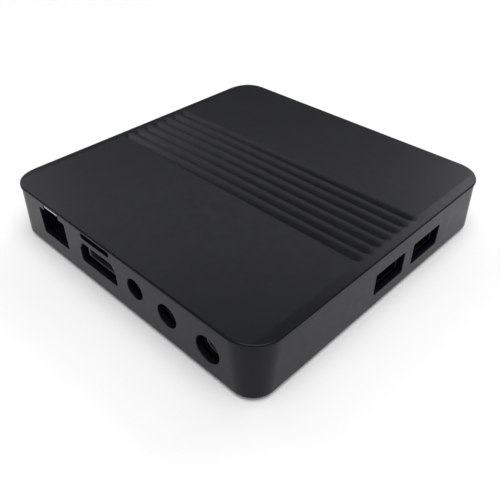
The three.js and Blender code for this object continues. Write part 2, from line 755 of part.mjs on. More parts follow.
function heatSink() {
  const { width, base, finHeight, finWidth, fins, depth } = HEAT_SINK;
  const pitch = (width - finWidth) / (fins - 1);
  const outline = [[-width / 2, 0]];
  for (let i = 0; i < fins; i += 1) {
    const left = i * pitch - width / 2;
    if (i > 0) outline.push([left, -base]);
    outline.push([left, -base - finHeight], [left + finWidth, -base - finHeight]);
    if (i < fins - 1) outline.push([left + finWidth, -base]);
  }
  outline.push([width / 2, 0]);
  return extrude(polygon(outline), 'y', -depth / 2, depth / 2);
}

// The processor with its pad and heat sink, stacked below the board.
function addProcessor() {
  const { x, y, size, height } = PROCESSOR;
  const stack = groupAt(electronics, [x, y, -SOLDER_GAP]);
  const padTop = -height - SOLDER_GAP;
  place('processor', box(spread(0, size), spread(0, size), [-height, 0]), 'chip', stack);
  place('thermal_pad', box(spread(0, size), spread(0, size), [padTop - THERMAL_PAD, padTop]), 'pad', stack);
  place('heat_sink', heatSink(), 'aluminium', stack, [0, 0, padTop - THERMAL_PAD - SOLDER_GAP]);
}

// ---------------------------------------------------------------------------------------------
// Sockets. Each group has its origin at the socket's front, on its axis, and y runs into the case.
// ---------------------------------------------------------------------------------------------

// Legs from a hanging shell up to the board, two at each side: middle is their place across the
// shell, width their width there, and low their lower end.
function shellLegs({ depth, drop }, middle, width, low) {
  return [-middle, middle].flatMap((x) => LEG_SHARES.map((share) => (
    box(spread(x, width), spread(share * depth, LEG_LENGTH), [low, drop - SOLDER_GAP]))));
}

function addHdmi() {
  const { width, height, sheet, depth, blockDepth } = HDMI;
  const socket = groupAt(electronics, [HDMI.x, FRONT_Y, -HDMI.drop]);
  const outside = extrude(hdmiOutline(0, 0, width, height), 'y', 0, depth);
  const hollow = hdmiOutline(0, 0, width - 2 * sheet, height - 2 * sheet);
  const shell = carve(outside, [extrude(hollow, 'y', -MARGIN, depth + MARGIN)], hdmiLegs());
  const gap = 2 * (sheet + SEAT_GAP);
  const blockOutline = hdmiOutline(0, 0, width - gap, height - gap);
  const block = extrude(blockOutline, 'y', depth - blockDepth, depth - SEAT_GAP);
  const along = [HDMI.tongueSetback, depth - blockDepth / 2];
  const tongue = box(spread(0, HDMI.tongueWidth), along, spread(0, HDMI.tongueHeight));
  place('hdmi_shell', shell, 'tin', socket);
  place('hdmi_tongue', carve(block, [], [tongue]), 'insulator', socket);
}

// The HDMI shell's legs stand on its top plate, in from the slants.
function hdmiLegs() {
  const { width, height, sheet, slantWidth } = HDMI;
  return shellLegs(HDMI, width / 2 - slantWidth - LEG_WIDTH, LEG_WIDTH, height / 2 - sheet / 2);
}

// A USB socket, turned to face +X. The tongue is below the axis because the socket hangs upside down.
function addUsb(name, y) {
  const { width, height, sheet, depth, blockDepth } = USB;
  const socket = groupAt(electronics, [INNER_X - SOCKET_SETBACK, y, -USB.drop], Math.PI / 2);
  const inner = [width - 2 * sheet, height - 2 * sheet];
  const outside = extrude(roundedRectangle(0, 0, width, height, SMALL_ROUNDING), 'y', 0, depth, 1);
  const hollow = roundedRectangle(0, 0, ...inner, SMALL_ROUNDING - sheet / 2);
  const legs = shellLegs(USB, (width - sheet) / 2, sheet, height / 4);
  const shell = carve(outside, [extrude(hollow, 'y', -MARGIN, depth + MARGIN, 1)], legs);
  const [blockWidth, blockHeight] = inner.map((size) => size - 4 * SEAT_GAP);
  const block = box(spread(0, blockWidth), [depth - blockDepth, depth - SEAT_GAP], spread(0, blockHeight));
  const along = [USB.tongueSetback, depth - blockDepth / 2];
  const tongue = box(spread(0, USB.tongueWidth), along, spread(-USB.tongueDrop, USB.tongueHeight));
  place(`${name}_shell`, shell, 'tin', socket);
  place(`${name}_tongue`, carve(block, [], [tongue]), 'insulator', socket);
}

// The network socket's contacts: sprung wires that slope up into the cavity, held by one bar.
function networkContacts(bottom) {
  const { contactCount, contactPitch, contactWidth, barHeight, barDepth, wireStart, wireThickness } = NETWORK;
  const barFront = NETWORK.cavityDepth - barDepth - 2 * SEAT_GAP;
  const low = bottom + wireThickness;
  const endY = barFront + barDepth / 2;
  const high = bottom + barHeight - wireThickness;
  const wire = polygon([
    [wireStart, low],
    [endY, high],
    [endY, high - wireThickness],
    [wireStart, bottom + SEAT_GAP],
  ]);
  const width = (contactCount + 1) * contactPitch;
  const bar = box(spread(0, width), [barFront, barFront + barDepth], [bottom + SEAT_GAP, bottom + barHeight]);
  const wires = Array.from({ length: contactCount }, (_, i) => {
    const x = (i - (contactCount - 1) / 2) * contactPitch;
    return extrude(wire, 'x', x - contactWidth / 2, x + contactWidth / 2);
  });
  return carve(bar, [], wires);
}

function addNetwork() {
  const { width, depth, below, above, openingTop, openingBottom, cavityInset, cavityDepth } = NETWORK;
  const socket = groupAt(electronics, [NETWORK.x, FRONT_Y, 0]);
  const cavityWidth = NETWORK.openingWidth - 2 * cavityInset;
  const bottom = cavityInset - openingBottom;
  const top = openingTop - cavityInset;
  const latch = [top - MARGIN, openingTop + NETWORK.latchRise - 3 * cavityInset];
  const housing = carve(box(spread(0, width), [0, depth], [-below, above]), [
    box(spread(0, cavityWidth), [-MARGIN, cavityDepth], [bottom, top]),
    box(spread(0, NETWORK.latchWidth - 2 * cavityInset), [-MARGIN, cavityDepth], latch),
  ]);
  const gap = SEAT_GAP;
  const outer = NETWORK.shieldSheet + gap;
  const inside = box(spread(0, width + 2 * gap), [-MARGIN, depth + gap], [-below - MARGIN, above + gap]);
  const outside = box(spread(0, width + 2 * outer), [0, depth + outer], [-below, above + outer]);
  place('network_housing', housing, 'insulator', socket);
  place('network_shield', carve(outside, [inside]), 'tin', socket);
  place('network_contacts', networkContacts(bottom), 'gold', socket);
}

function addRoundSockets() {
  for (const [name, { x, drop, collar, width, below, depth, bore }] of Object.entries(ROUND_SOCKETS)) {
    const socket = groupAt(electronics, [x, FRONT_Y, -drop]);
    const body = box(spread(0, width), [COLLAR_DEPTH, depth], [-below, drop - SOLDER_GAP]);
    const front = cylinder(collar, 'y', [0, 0], 0, COLLAR_DEPTH + SEAT_GAP, 24);
    const cuts = [cylinder(bore, 'y', [0, 0], -MARGIN, BORE_DEPTHS[name], 24)];
    if (name === 'power_jack') {
      cuts.push(cylinder(POWER_PIN.radius + POWER_PIN.fit, 'y', [0, 0], 0, depth + MARGIN));
      place('power_pin', powerPin(depth), 'tin', socket);
    }
    place(name, carve(body, cuts, [front]), 'insulator', socket);
  }
}

// The power jack's centre pin, with a domed tip, lying along y.
function powerPin(depth) {
  const { radius, setback } = POWER_PIN;
  return lyingRod(radius, depth - setback).rotateZ(Math.PI).translate(0, depth, 0);
}

// ---------------------------------------------------------------------------------------------
// Memory card socket, on the board's upper face. Its slider and spring lie in a channel at one side.
// ---------------------------------------------------------------------------------------------

class Helix extends THREE.Curve {
  constructor(radius, length, turns) {
    super();
    Object.assign(this, { radius, length, turns });
  }

  getPoint(t, target = new THREE.Vector3()) {
    const angle = t * this.turns * 2 * Math.PI;
    return target.set(this.radius * Math.cos(angle), t * this.length, this.radius * Math.sin(angle));
  }
}

function cardSpring() {
  const { length, radius, wire, turns } = CARD_SPRING;
  const path = new Helix(radius, length - 2 * wire, turns);
  return wireAlong(path, wire, CARD_SPRING.sides, turns * CARD_SPRING.stepsPerTurn).translate(0, wire, 0);
}

function cardCover() {
  const { width, depth, height, sheet, skirt, fit } = CARD;
  const inner = width / 2 + fit;
  const outer = inner + sheet;
  const low = height + fit;
  const high = low + sheet;
  const outline = polygon([[-outer, high - skirt], [-inner, high - skirt], [-inner, low], [inner, low],
    [inner, high - skirt], [outer, high - skirt], [outer, high], [-outer, high]]);
  return extrude(outline, 'y', 0, depth);
}

function addCardSocket() {
  const { x, width, depth, height, bottom, channelLeft, channelRight, backWall } = CARD;
  const { length, noseWidth, noseLength, fit, y: sliderY } = CARD_SLIDER;
  const socket = groupAt(electronics, [x, FRONT_Y, BOARD_THICKNESS]);
  const base = carve(box(spread(0, width), [0, depth], [SOLDER_GAP, height]), [
    box([-channelLeft, channelRight], [-MARGIN, depth - backWall], [bottom, height + MARGIN])]);
  const right = channelRight - fit;
  const left = right - CARD_SLIDER.width;
  const levels = [bottom + fit, bottom + fit + CARD_SLIDER.height];
  const bar = box([left, right], [0, length], levels);
  const nose = box([left - noseWidth, left + CARD_SLIDER.width / 2], [length - noseLength, length], levels);
  const springY = sliderY + length + SEAT_GAP;
  const springX = (left + right) / 2;
  place('card_base', base, 'insulator', socket);
  place('card_cover', cardCover(), 'tin', socket);
  place('card_slider', carve(bar, [], [nose]), 'slider', socket, [0, sliderY, 0]);
  place('card_spring', cardSpring(), 'tin', socket, [springX, springY, (levels[0] + levels[1]) / 2]);
}

// ---------------------------------------------------------------------------------------------
// Reset switch, above a pin hole in the floor
// ---------------------------------------------------------------------------------------------

function addReset() {
  const { width, height, boreRadius, boreDepth, plungerRadius, plungerBevel } = RESET;
  const group = groupAt(electronics, [RESET.x, RESET.y, 0]);
  const outside = box(spread(0, width), spread(0, width), [-height, -SOLDER_GAP]);
  const bore = cylinder(boreRadius, 'z', [0, 0], -height - MARGIN, boreDepth - height);
  const top = boreDepth - height - RESET.plungerGap;
  const tip = top - RESET.plungerLength;
  const plunger = turned([
    [0, tip],
    [plungerRadius - plungerBevel, tip],
    [plungerRadius, tip + plungerBevel],
    [plungerRadius, top],
    [0, top],
  ]);
  place('reset_body', carve(outside, [bore]), 'tin', group);
  place('reset_plunger', plunger, 'insulator', group);
}

// ---------------------------------------------------------------------------------------------
// Infrared receiver, status light and their window in the +Y wall
// ---------------------------------------------------------------------------------------------

const LIP_Y = INNER_Y - WINDOW.fit; // outer face of the window's lip, against the wall
const LENS_TIP_Y = LIP_Y - WINDOW.lipThickness - LENS_GAP;

function addWindow() {
  const { x, drop, width, height, radius, lip, lipThickness, fit } = WINDOW;
  const z = BOARD_UNDERSIDE - drop;
  const size = [width - 2 * fit, height - 2 * fit];
  const plugEnd = DEPTH / 2 - WALL_FOOT_INSET - fit;
  const plug = extrude(roundedRectangle(x, z, ...size, radius - fit), 'y', LIP_Y - lipThickness, plugEnd);
  const flangeOutline = roundedRectangle(x, z, width + 2 * lip, height + 2 * lip, radius);
  const flange = extrude(flangeOutline, 'y', LIP_Y - lipThickness, LIP_Y);
  place('window', carve(plug, [], [flange]), 'window', player);
}

function addReceiver() {
  const { x, width, depth, height, lensRadius } = RECEIVER;
  const group = groupAt(electronics, [x, LENS_TIP_Y - lensRadius / 2, 0]);
  const body = box(spread(0, width), [-depth, 0], [-height, -SOLDER_GAP]);
  const dome = new THREE.SphereGeometry(lensRadius, 16, 10).translate(0, -lensRadius / 2, -WINDOW.drop);
  place('ir_receiver', carve(body, [], [dome]), 'window', group);
}

// The light lies along y in a right-angle holder.
function addLight() {
  const { x, radius, length, holderWidth, holderDepth, holderBack, holderBelow, fit } = LED;
  const group = groupAt(electronics, [x, LENS_TIP_Y - length, 0]);
  const levels = [-WINDOW.drop - radius - holderBelow, -SOLDER_GAP];
  const block = box(spread(0, holderWidth), [-holderBack - fit, holderDepth], levels);
  const bore = cylinder(radius + fit, 'y', [0, -WINDOW.drop], -fit, holderDepth + MARGIN);
  place('status_light', lyingRod(radius, length), 'lens', group, [0, 0, -WINDOW.drop]);
  place('light_holder', carve(block, [bore]), 'insulator', group);
}

// ---------------------------------------------------------------------------------------------
// Wi-Fi module, foil antenna on the -X wall, and the lead between them
// ---------------------------------------------------------------------------------------------

function addWireless() {
  const { x, y, width, depth, board, shieldWidth, shieldDepth, shieldHeight } = WIFI;
  const under = -SOLDER_GAP - board;
  const shieldX = x + WIFI_SHIELD_SHIFT;
  const plugX = x - width / 2 + LEAD_PLUG.inset;
  const shieldTop = under - SOLDER_GAP;
  const levels = [shieldTop - shieldHeight, shieldTop];
  const shield = box(spread(shieldX, shieldWidth), spread(y, shieldDepth), levels);
  const plug = cylinder(LEAD_PLUG.radius, 'z', [plugX, y], under - LEAD_PLUG.height, under - SOLDER_GAP, 16);
  const antennaX = -INNER_X + ANTENNA.wallGap;
  const antenna = box([antennaX, antennaX + ANTENNA.thickness], spread(ANTENNA.y, ANTENNA.length),
    spread(-ANTENNA.drop, ANTENNA.height));
  place('wifi_board', box(spread(x, width), spread(y, depth), [under, -SOLDER_GAP]), 'board', electronics);
  place('wifi_shield', shield, 'tin', electronics);
  place('lead_plug', plug, 'gold', electronics);
  place('antenna', antenna, 'foil', electronics);
  const from = new THREE.Vector3(antennaX + ANTENNA.thickness + LEAD.gap, ANTENNA.y, -ANTENNA.drop);
  const to = new THREE.Vector3(plugX - LEAD_PLUG.radius - LEAD.gap, y, under - LEAD_PLUG.height / 2);
  place('antenna_lead', antennaLead(from, to), 'jacket', electronics);
}

// The lead leaves the antenna square to it, runs up to the board and along it to the plug.
function antennaLead(from, to) {
  const { bend } = LEAD;
  const path = new THREE.CatmullRomCurve3([
    from,
    new THREE.Vector3(from.x + bend, from.y + bend / 2, from.z),
    new THREE.Vector3(from.x + 1.5 * bend, from.y + 2 * bend, (from.z + to.z) / 2),
    new THREE.Vector3(to.x - 1.2 * bend, to.y + bend, to.z),
    to,
  ]);
  return wireAlong(path, LEAD.radius, LEAD.sides, LEAD.steps);
}

addHousing();
addBoard();
addChips();
addProcessor();
addNetwork();
addHdmi();
USB.y.forEach((y, i) => addUsb(`usb_${i + 1}`, y));
addRoundSockets();
addCardSocket();
addReset();
addWindow();
addReceiver();
addLight();
addWireless();

export default player;
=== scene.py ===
"""Looks of a square streaming media player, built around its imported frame.

Everything is in metres in the row frame: +Z up, the origin under the middle of the feet, the
sockets in the -Y and +X walls, and the infrared window in the +Y wall. Each class below is one
sub-assembly of the player. It keeps its sizes as fields, takes its places from the frame, builds its
meshes and dresses them with the finishes.
"""

import logging
import math
from dataclasses import dataclass, field
from enum import Enum
from typing import Callable, Iterable, Optional, Sequence, Union

import bmesh
import bpy
from mathutils import Matrix, Vector


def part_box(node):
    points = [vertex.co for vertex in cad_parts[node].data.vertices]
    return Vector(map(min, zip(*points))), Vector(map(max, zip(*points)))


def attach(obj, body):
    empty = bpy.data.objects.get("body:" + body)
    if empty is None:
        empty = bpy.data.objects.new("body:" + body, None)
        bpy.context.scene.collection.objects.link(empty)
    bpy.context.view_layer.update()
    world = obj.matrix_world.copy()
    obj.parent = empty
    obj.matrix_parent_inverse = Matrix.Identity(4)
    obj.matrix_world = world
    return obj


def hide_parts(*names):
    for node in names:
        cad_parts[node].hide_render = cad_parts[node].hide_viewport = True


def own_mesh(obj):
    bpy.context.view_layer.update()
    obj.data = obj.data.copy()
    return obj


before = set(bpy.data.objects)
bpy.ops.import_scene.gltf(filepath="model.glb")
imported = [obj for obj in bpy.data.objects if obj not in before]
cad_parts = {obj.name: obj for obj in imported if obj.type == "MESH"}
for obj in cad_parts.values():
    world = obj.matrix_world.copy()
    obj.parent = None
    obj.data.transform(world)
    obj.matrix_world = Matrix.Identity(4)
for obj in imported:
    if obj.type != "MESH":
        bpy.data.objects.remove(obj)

LOG = logging.getLogger("player")
MM = 0.001
PLAYER = "player"
CREASE = 28.0
LEAST_BEVEL = 0.02 * MM

Point2 = tuple[float, float]
Colour = tuple[float, float, float]


# ---------------------------------------------------------------------------------------------
# Drawings: outlines in a plane
# ---------------------------------------------------------------------------------------------


def rounded(corners: Sequence[Point2], radii: Union[float, Sequence[float]], steps: int = 6) -> list[Point2]:
    """Rounds the corners of a polygon.

    Args:
        corners: The polygon's corners, in order.
        radii: One radius for all corners, or one for each. A radius of 0 keeps the corner.
        steps: Steps of each rounding.

    Returns:
        The outline's points, in the same order.
    """
    radius_of = [radii] * len(corners) if isinstance(radii, (int, float)) else list(radii)
    outline: list[Point2] = []
    for i, corner in enumerate(corners):
        if radius_of[i] <= 0:
            outline.append(corner)
            continue
        here = Vector(corner)
        back = (Vector(corners[i - 1]) - here).normalized()
        ahead = (Vector(corners[(i + 1) % len(corners)]) - here).normalized()
        half = back.angle(ahead) / 2
        middle = here + (back + ahead).normalized() * radius_of[i] / math.sin(half)
        start = here + back * radius_of[i] / math.tan(half) - middle
        sweep = math.copysign(math.pi - 2 * half, back.x * ahead.y - back.y * ahead.x)
        for step in range(steps + 1):
            turn = Matrix.Rotation(-sweep * step / steps, 2)
            outline.append(tuple(middle + turn @ start))
    return outline


def rectangle(middle: Point2, size: Point2, radius: float = 0.0, steps: int = 6) -> list[Point2]:
    """Draws a rectangle with rounded corners.

    Args:
        middle: Its middle.
        size: Its width and height.
        radius: Radius of its corners.
        steps: Steps of each rounding.

    Returns:
        The outline's points, counter-clockwise.
    """
    (x, y), (width, height) = middle, (size[0] / 2, size[1] / 2)
    corners = [(x + a * width, y + b * height) for a, b in ((-1, -1), (1, -1), (1, 1), (-1, 1))]
    return rounded(corners, radius, steps)


def circle(middle: Point2, radius: float, sides: int = 48) -> list[Point2]:
    """Draws a circle with that many sides, counter-clockwise."""
    angles = [2 * math.pi * i / sides for i in range(sides)]
    return [(middle[0] + radius * math.cos(a), middle[1] + radius * math.sin(a)) for a in angles]


def grown(outline: Sequence[Point2], by: float) -> list[Point2]:
    """Moves a counter-clockwise outline outwards, or inwards if by is negative.

    Args:
        outline: The outline's points.
        by: The distance between the old and the new outline.

    Returns:
        The moved points, one for each point given.
    """
    moved: list[Point2] = []
    for i, point in enumerate(outline):
        before = Vector(point) - Vector(outline[i - 1])
        after = Vector(outline[(i + 1) % len(outline)]) - Vector(point)
        normals = [Vector((edge.y, -edge.x)).normalized() for edge in (before, after)]
        middle = normals[0] + normals[1]
        moved.append(tuple(Vector(point) + middle * by / max(1 + normals[0].dot(normals[1]), 0.2)))
    return moved


def ribbon(path: Sequence[Point2], thickness: float) -> list[Point2]:
    """Draws the outline of a strip of that thickness along an open path."""
    sides: tuple[list[Point2], list[Point2]] = ([], [])
    for i, point in enumerate(path):
        ahead = Vector(path[min(i + 1, len(path) - 1)]) - Vector(path[max(i - 1, 0)])
        across = Vector((-ahead.y, ahead.x)).normalized() * thickness / 2
        sides[0].append(tuple(Vector(point) - across))
        sides[1].append(tuple(Vector(point) + across))
    return sides[0] + sides[1][::-1]


def quarter(radius: float, steps: int = 5) -> list[Point2]:
    """Gives (depth, offset) pairs of a rounded edge, from the face that it starts on inwards."""
    angles = [math.pi / 2 * i / steps for i in range(steps + 1)]
    return [(radius * (1 - math.cos(a)), radius * (1 - math.sin(a))) for a in angles]


# ---------------------------------------------------------------------------------------------
# Drafts: closed meshes while they are drawn, joined and cut
# ---------------------------------------------------------------------------------------------


class Axis(Enum):
    """The direction that a drawing is carried along. The drawing lies in the other two axes."""

    X = 0
    Y = 1
    Z = 2

    def point(self, drawn: Point2, along: float) -> Vector:
        """Gives the place of a drawn point at a distance along this axis."""
        place = [drawn[0], drawn[1]]
        place.insert(self.value, along)
        return Vector(place)


@dataclass
class Draft:
    """Points and faces of one or more closed bodies."""

    points: list[Vector] = field(default_factory=list)
    faces: list[list[int]] = field(default_factory=list)

    def joined(self, others: Iterable["Draft"]) -> "Draft":
        """Returns one draft that holds this one and the others, without merging them."""
        both = Draft(list(self.points), list(self.faces))
        for other in others:
            first = len(both.points)
            both.points += other.points
            both.faces += [[first + i for i in face] for face in other.faces]
        return both

    def changed(self, matrix: Matrix) -> "Draft":
        """Returns a copy with a matrix applied to each point."""
        return Draft([matrix @ point for point in self.points], list(self.faces))

    def moved(self, by: Sequence[float]) -> "Draft":
        """Returns a copy moved by a vector."""
        return self.changed(Matrix.Translation(Vector(by)))

    def box(self) -> tuple[Vector, Vector]:
        """Returns the lowest and the highest corner of its box."""
        low = Vector([min(point[i] for point in self.points) for i in range(3)])
        high = Vector([max(point[i] for point in self.points) for i in range(3)])
        return low, high

    def apart_from(self, other: "Draft") -> bool:
        """Tells whether its box and the other's box don't touch."""
        (low, high), (other_low, other_high) = self.box(), other.box()
        return any(low[i] > other_high[i] or high[i] < other_low[i] for i in range(3))

    def mesh(self, name: str) -> bpy.types.Mesh:
        """Makes a Blender mesh whose faces point out."""
        made = bpy.data.meshes.new(name)
        made.from_pydata([tuple(point) for point in self.points], [], self.faces)
        work = bmesh.new()
        work.from_mesh(made)
        bmesh.ops.remove_doubles(work, verts=work.verts, dist=1e-7)
        bmesh.ops.recalc_face_normals(work, faces=work.faces)
        work.to_mesh(made)
        work.free()
        return made


def merged(drafts: Sequence[Draft]) -> Draft:
    """Puts several drafts into one, without joining their bodies."""
    return drafts[0].joined(drafts[1:])


def loft(rings: Sequence[Sequence[Vector]]) -> Draft:
    """Draws a closed body through rings of equally many points, with flat ends."""
    count = len(rings[0])
    draft = Draft([point for ring in rings for point in ring])
    for level in range(len(rings) - 1):
        for i in range(count):
            low, after = level * count + i, level * count + (i + 1) % count
            draft.faces.append([low, after, after + count, low + count])
    draft.faces.append(list(range(count))[::-1])
    draft.faces.append([(len(rings) - 1) * count + i for i in range(count)])
    return draft


def prism(outline: Sequence[Point2], axis: Axis, low: float, high: float) -> Draft:
    """Carries an outline along an axis from one coordinate to another."""
    return loft([[axis.point(p, along) for p in outline] for along in (low, high)])


def stacked(outline: Sequence[Point2], axis: Axis, levels: Sequence[Point2]) -> Draft:
    """Carries an outline along an axis while it grows and shrinks.

    Args:
        outline: The outline, counter-clockwise.
        axis: The axis that it is carried along.
        levels: Pairs of a coordinate along the axis and how far the outline is grown there.

    Returns:
        The closed body.
    """
    return loft([[axis.point(p, along) for p in grown(outline, by)] for along, by in levels])


def plate(outline: Sequence[Point2], axis: Axis, low: float, high: float, edge: float,
          steps: int = 3) -> Draft:
    """Carries an outline along an axis, with rounded edges at both ends."""
    lower = [(low + depth, -offset) for depth, offset in quarter(edge, steps)]
    upper = [(high - depth, -offset) for depth, offset in quarter(edge, steps)[::-1]]
    return stacked(outline, axis, lower + upper)


def block(low: Sequence[float], high: Sequence[float], edge: float = 0.0) -> Draft:
    """Draws a box between two corners, with its upright edges and its ends rounded by edge."""
    middle = ((low[0] + high[0]) / 2, (low[1] + high[1]) / 2)
    size = (high[0] - low[0], high[1] - low[1])
    if edge <= 0:
        return prism(rectangle(middle, size), Axis.Z, low[2], high[2])
    return plate(rectangle(middle, size, 1.5 * edge, 3), Axis.Z, low[2], high[2], edge)


def turned(profile: Sequence[Point2], sides: int = 48) -> Draft:
    """Turns a profile of (radius, height) points about Z. A radius of 0 closes the body there."""
    draft = Draft()
    rings: list[list[int]] = []
    for radius, height in profile:
        first = len(draft.points)
        if radius <= 0:
            draft.points.append(Vector((0, 0, height)))
            rings.append([first] * sides)
            continue
        draft.points += [Vector((x, y, height)) for x, y in circle((0, 0), radius, sides)]
        rings.append(list(range(first, first + sides)))
    for low, high in zip(rings, rings[1:]):
        for i in range(sides):
            j = (i + 1) % sides
            corners = [low[i], low[j], high[j], high[i]]
            draft.faces.append(list(dict.fromkeys(corners)))
    return draft


def spun(section: Sequence[Point2], sides: int = 64) -> Draft:
    """Turns a closed section of (radius, height) points about Z to a ring."""
    draft = Draft([Vector((r * x, r * y, h)) for x, y in circle((0, 0), 1, sides) for r, h in section])
    count = len(section)
    for i in range(sides):
        for j in range(count):
            here, beside = i * count, (i + 1) % sides * count
            after = (j + 1) % count
            draft.faces.append([here + j, here + after, beside + after, beside + j])
    return draft


def lying(draft: Draft, place: Sequence[float], facing: Sequence[float]) -> Draft:
    """Turns a body from standing along +Z to lie along facing, and moves its origin to place."""
    turn = Vector((0, 0, 1)).rotation_difference(Vector(facing)).to_matrix().to_4x4()
    return draft.changed(Matrix.Translation(Vector(place)) @ turn)


def tube(path: Sequence[Vector], radius: float, sides: int = 12) -> Draft:
    """Draws a round wire along a path, with flat ends, without twist."""
    rings: list[list[Vector]] = []
    side: Optional[Vector] = None
    for i, place in enumerate(path):
        ahead = (path[min(i + 1, len(path) - 1)] - path[max(i - 1, 0)]).normalized()
        side = ahead.orthogonal() if side is None else side - ahead * side.dot(ahead)
        side.normalize()
        up = ahead.cross(side)
        ring = [place + radius * (side * c + up * s) for c, s in circle((0, 0), 1, sides)]
        rings.append(ring)
    return loft(rings)


def batches(drafts: Sequence[Draft]) -> list[Draft]:
    """Joins bodies into as few drafts as possible, so that the bodies of each draft are apart."""
    groups: list[list[Draft]] = []
    for draft in drafts:
        free = (group for group in groups if all(draft.apart_from(other) for other in group))
        group = next(free, None)
        if group is None:
            groups.append([draft])
        else:
            group.append(draft)
    return [merged(group) for group in groups]


def combine(base: Draft, added: Sequence[Draft] = (), cut: Sequence[Draft] = ()) -> bpy.types.Mesh:
    """Joins bodies to a base, then cuts bodies from it.

    Args:
        base: The body to start from.
        added: Bodies that become one with it.
        cut: Bodies to take away.

    Returns:
        The finished mesh.
    """
    subject = bpy.data.objects.new("subject", base.mesh("subject"))
    bpy.context.scene.collection.objects.link(subject)
    steps = [("UNION", draft) for draft in batches(added)] + [("DIFFERENCE", draft) for draft in batches(cut)]
    for operation, draft in steps:
        tool = bpy.data.objects.new("tool", draft.mesh("tool"))
        bpy.context.scene.collection.objects.link(tool)
        modifier = subject.modifiers.new("step", "BOOLEAN")
        modifier.operation = operation
        modifier.solver = "EXACT"
        modifier.object = tool
        evaluated = subject.evaluated_get(bpy.context.evaluated_depsgraph_get())
        made = bpy.data.meshes.new_from_object(evaluated)
        subject.modifiers.clear()
        subject.data = made
        bpy.data.objects.remove(tool)
    mesh = subject.data
    bpy.data.objects.remove(subject)
    return mesh


# ---------------------------------------------------------------------------------------------
# Finishes
# ---------------------------------------------------------------------------------------------


class Shader:
    """A material's node tree while it is put together."""

    def __init__(self, name: str) -> None:
        """Starts a material with one Principled surface."""
        self.material = bpy.data.materials.new(name)
        self.material.use_nodes = True
        self.tree = self.material.node_tree
        self.tree.nodes.clear()
        self.surface = self.node("ShaderNodeBsdfPrincipled")
        output = self.node("ShaderNodeOutputMaterial")
        self.join(self.surface.outputs[0], output.inputs["Surface"])
        self.place = self.node("ShaderNodeTexCoord").outputs["Object"]

    def node(self, kind: str, **settings: object) -> bpy.types.Node:
        """Adds a node, sets its properties and returns it."""
        made = self.tree.nodes.new(kind)
        for name, value in settings.items():
            setattr(made, name, value)
        return made

    def join(self, source: bpy.types.NodeSocket, target: bpy.types.NodeSocket) -> None:
        """Links one socket to another."""
        self.tree.links.new(source, target)

    def set(self, **values: object) -> None:
        """Sets numbers and colours on the surface's own sockets, by their names with underscores."""
        for name, value in values.items():
            socket = self.surface.inputs[name.replace("_", " ")]
            socket.default_value = (*value, 1.0) if isinstance(value, tuple) and len(value) == 3 else value

    def noise(self, size: float, detail: float = 2.0,
              stretch: Sequence[float] = (1, 1, 1)) -> bpy.types.NodeSocket:
        """Adds a noise whose features are about size metres across, stretched along the axes."""
        mapping = self.node("ShaderNodeMapping")
        mapping.inputs["Scale"].default_value = tuple(1 / (size * s) for s in stretch)
        self.join(self.place, mapping.inputs["Vector"])
        made = self.node("ShaderNodeTexNoise")
        made.inputs["Scale"].default_value = 1.0
        made.inputs["Detail"].default_value = detail
        self.join(mapping.outputs[0], made.inputs["Vector"])
        return made.outputs["Fac"]

    def cells(self, size: float, feature: str = "F1") -> bpy.types.NodeSocket:
        """Adds a cell pattern whose cells are about size metres across."""
        made = self.node("ShaderNodeTexVoronoi", feature=feature)
        made.inputs["Scale"].default_value = 1 / size
        self.join(self.place, made.inputs["Vector"])
        return made.outputs["Distance"]

    def spread(self, source: bpy.types.NodeSocket, low: float, high: float,
               span: Point2 = (0.3, 0.7)) -> bpy.types.NodeSocket:
        """Maps the part of a value between the two ends of span to the range from low to high."""
        made = self.node("ShaderNodeMapRange")
        for name, value in zip(("From Min", "From Max", "To Min", "To Max"), (*span, low, high)):
            made.inputs[name].default_value = value
        self.join(source, made.inputs["Value"])
        return made.outputs["Result"]

    def blend(self, share: bpy.types.NodeSocket, first: Colour, second: Colour) -> bpy.types.NodeSocket:
        """Mixes two colours by a share between 0 and 1."""
        made = self.node("ShaderNodeMix", data_type="RGBA")
        self.join(share, made.inputs["Factor"])
        for socket, colour in zip([s for s in made.inputs if s.type == "RGBA"], (first, second)):
            socket.default_value = (*colour, 1.0)
        return next(s for s in made.outputs if s.type == "RGBA")

    def colour(self, share: bpy.types.NodeSocket, first: Colour, second: Colour) -> None:
        """Colours the surface between two colours."""
        self.join(self.blend(share, first, second), self.surface.inputs["Base Color"])

    def roughness(self, share: bpy.types.NodeSocket) -> None:
        """Drives the surface's roughness."""
        self.join(share, self.surface.inputs["Roughness"])

    def vary_roughness(self, source: bpy.types.NodeSocket, middle: float, by: float) -> None:
        """Drives the surface's roughness about a middle value."""
        self.roughness(self.spread(source, middle - by, middle + by))

    def relief(self, height: bpy.types.NodeSocket, depth: float, strength: float = 1.0,
               under: Optional[bpy.types.NodeSocket] = None) -> bpy.types.NodeSocket:
        """Adds a relief of that depth in metres to the surface, over another relief if given."""
        made = self.node("ShaderNodeBump")
        made.inputs["Strength"].default_value = strength
        made.inputs["Distance"].default_value = depth
        self.join(height, made.inputs["Height"])
        if under is not None:
            self.join(under, made.inputs["Normal"])
        self.join(made.outputs[0], self.surface.inputs["Normal"])
        return made.outputs[0]


@dataclass(frozen=True)
class Finish:
    """A finish that several pieces share. Subclasses say how it is made."""

    name: str
    slot: str

    def material(self) -> bpy.types.Material:
        """Returns the finish's material, which is made once and has a name of its own."""
        name = self.name + "_finish"
        found = bpy.data.materials.get(name)
        if found is not None:
            return found
        shader = Shader(name)
        self.build(shader)
        return shader.material

    def build(self, shader: Shader) -> None:
        """Puts the material together."""
        raise NotImplementedError


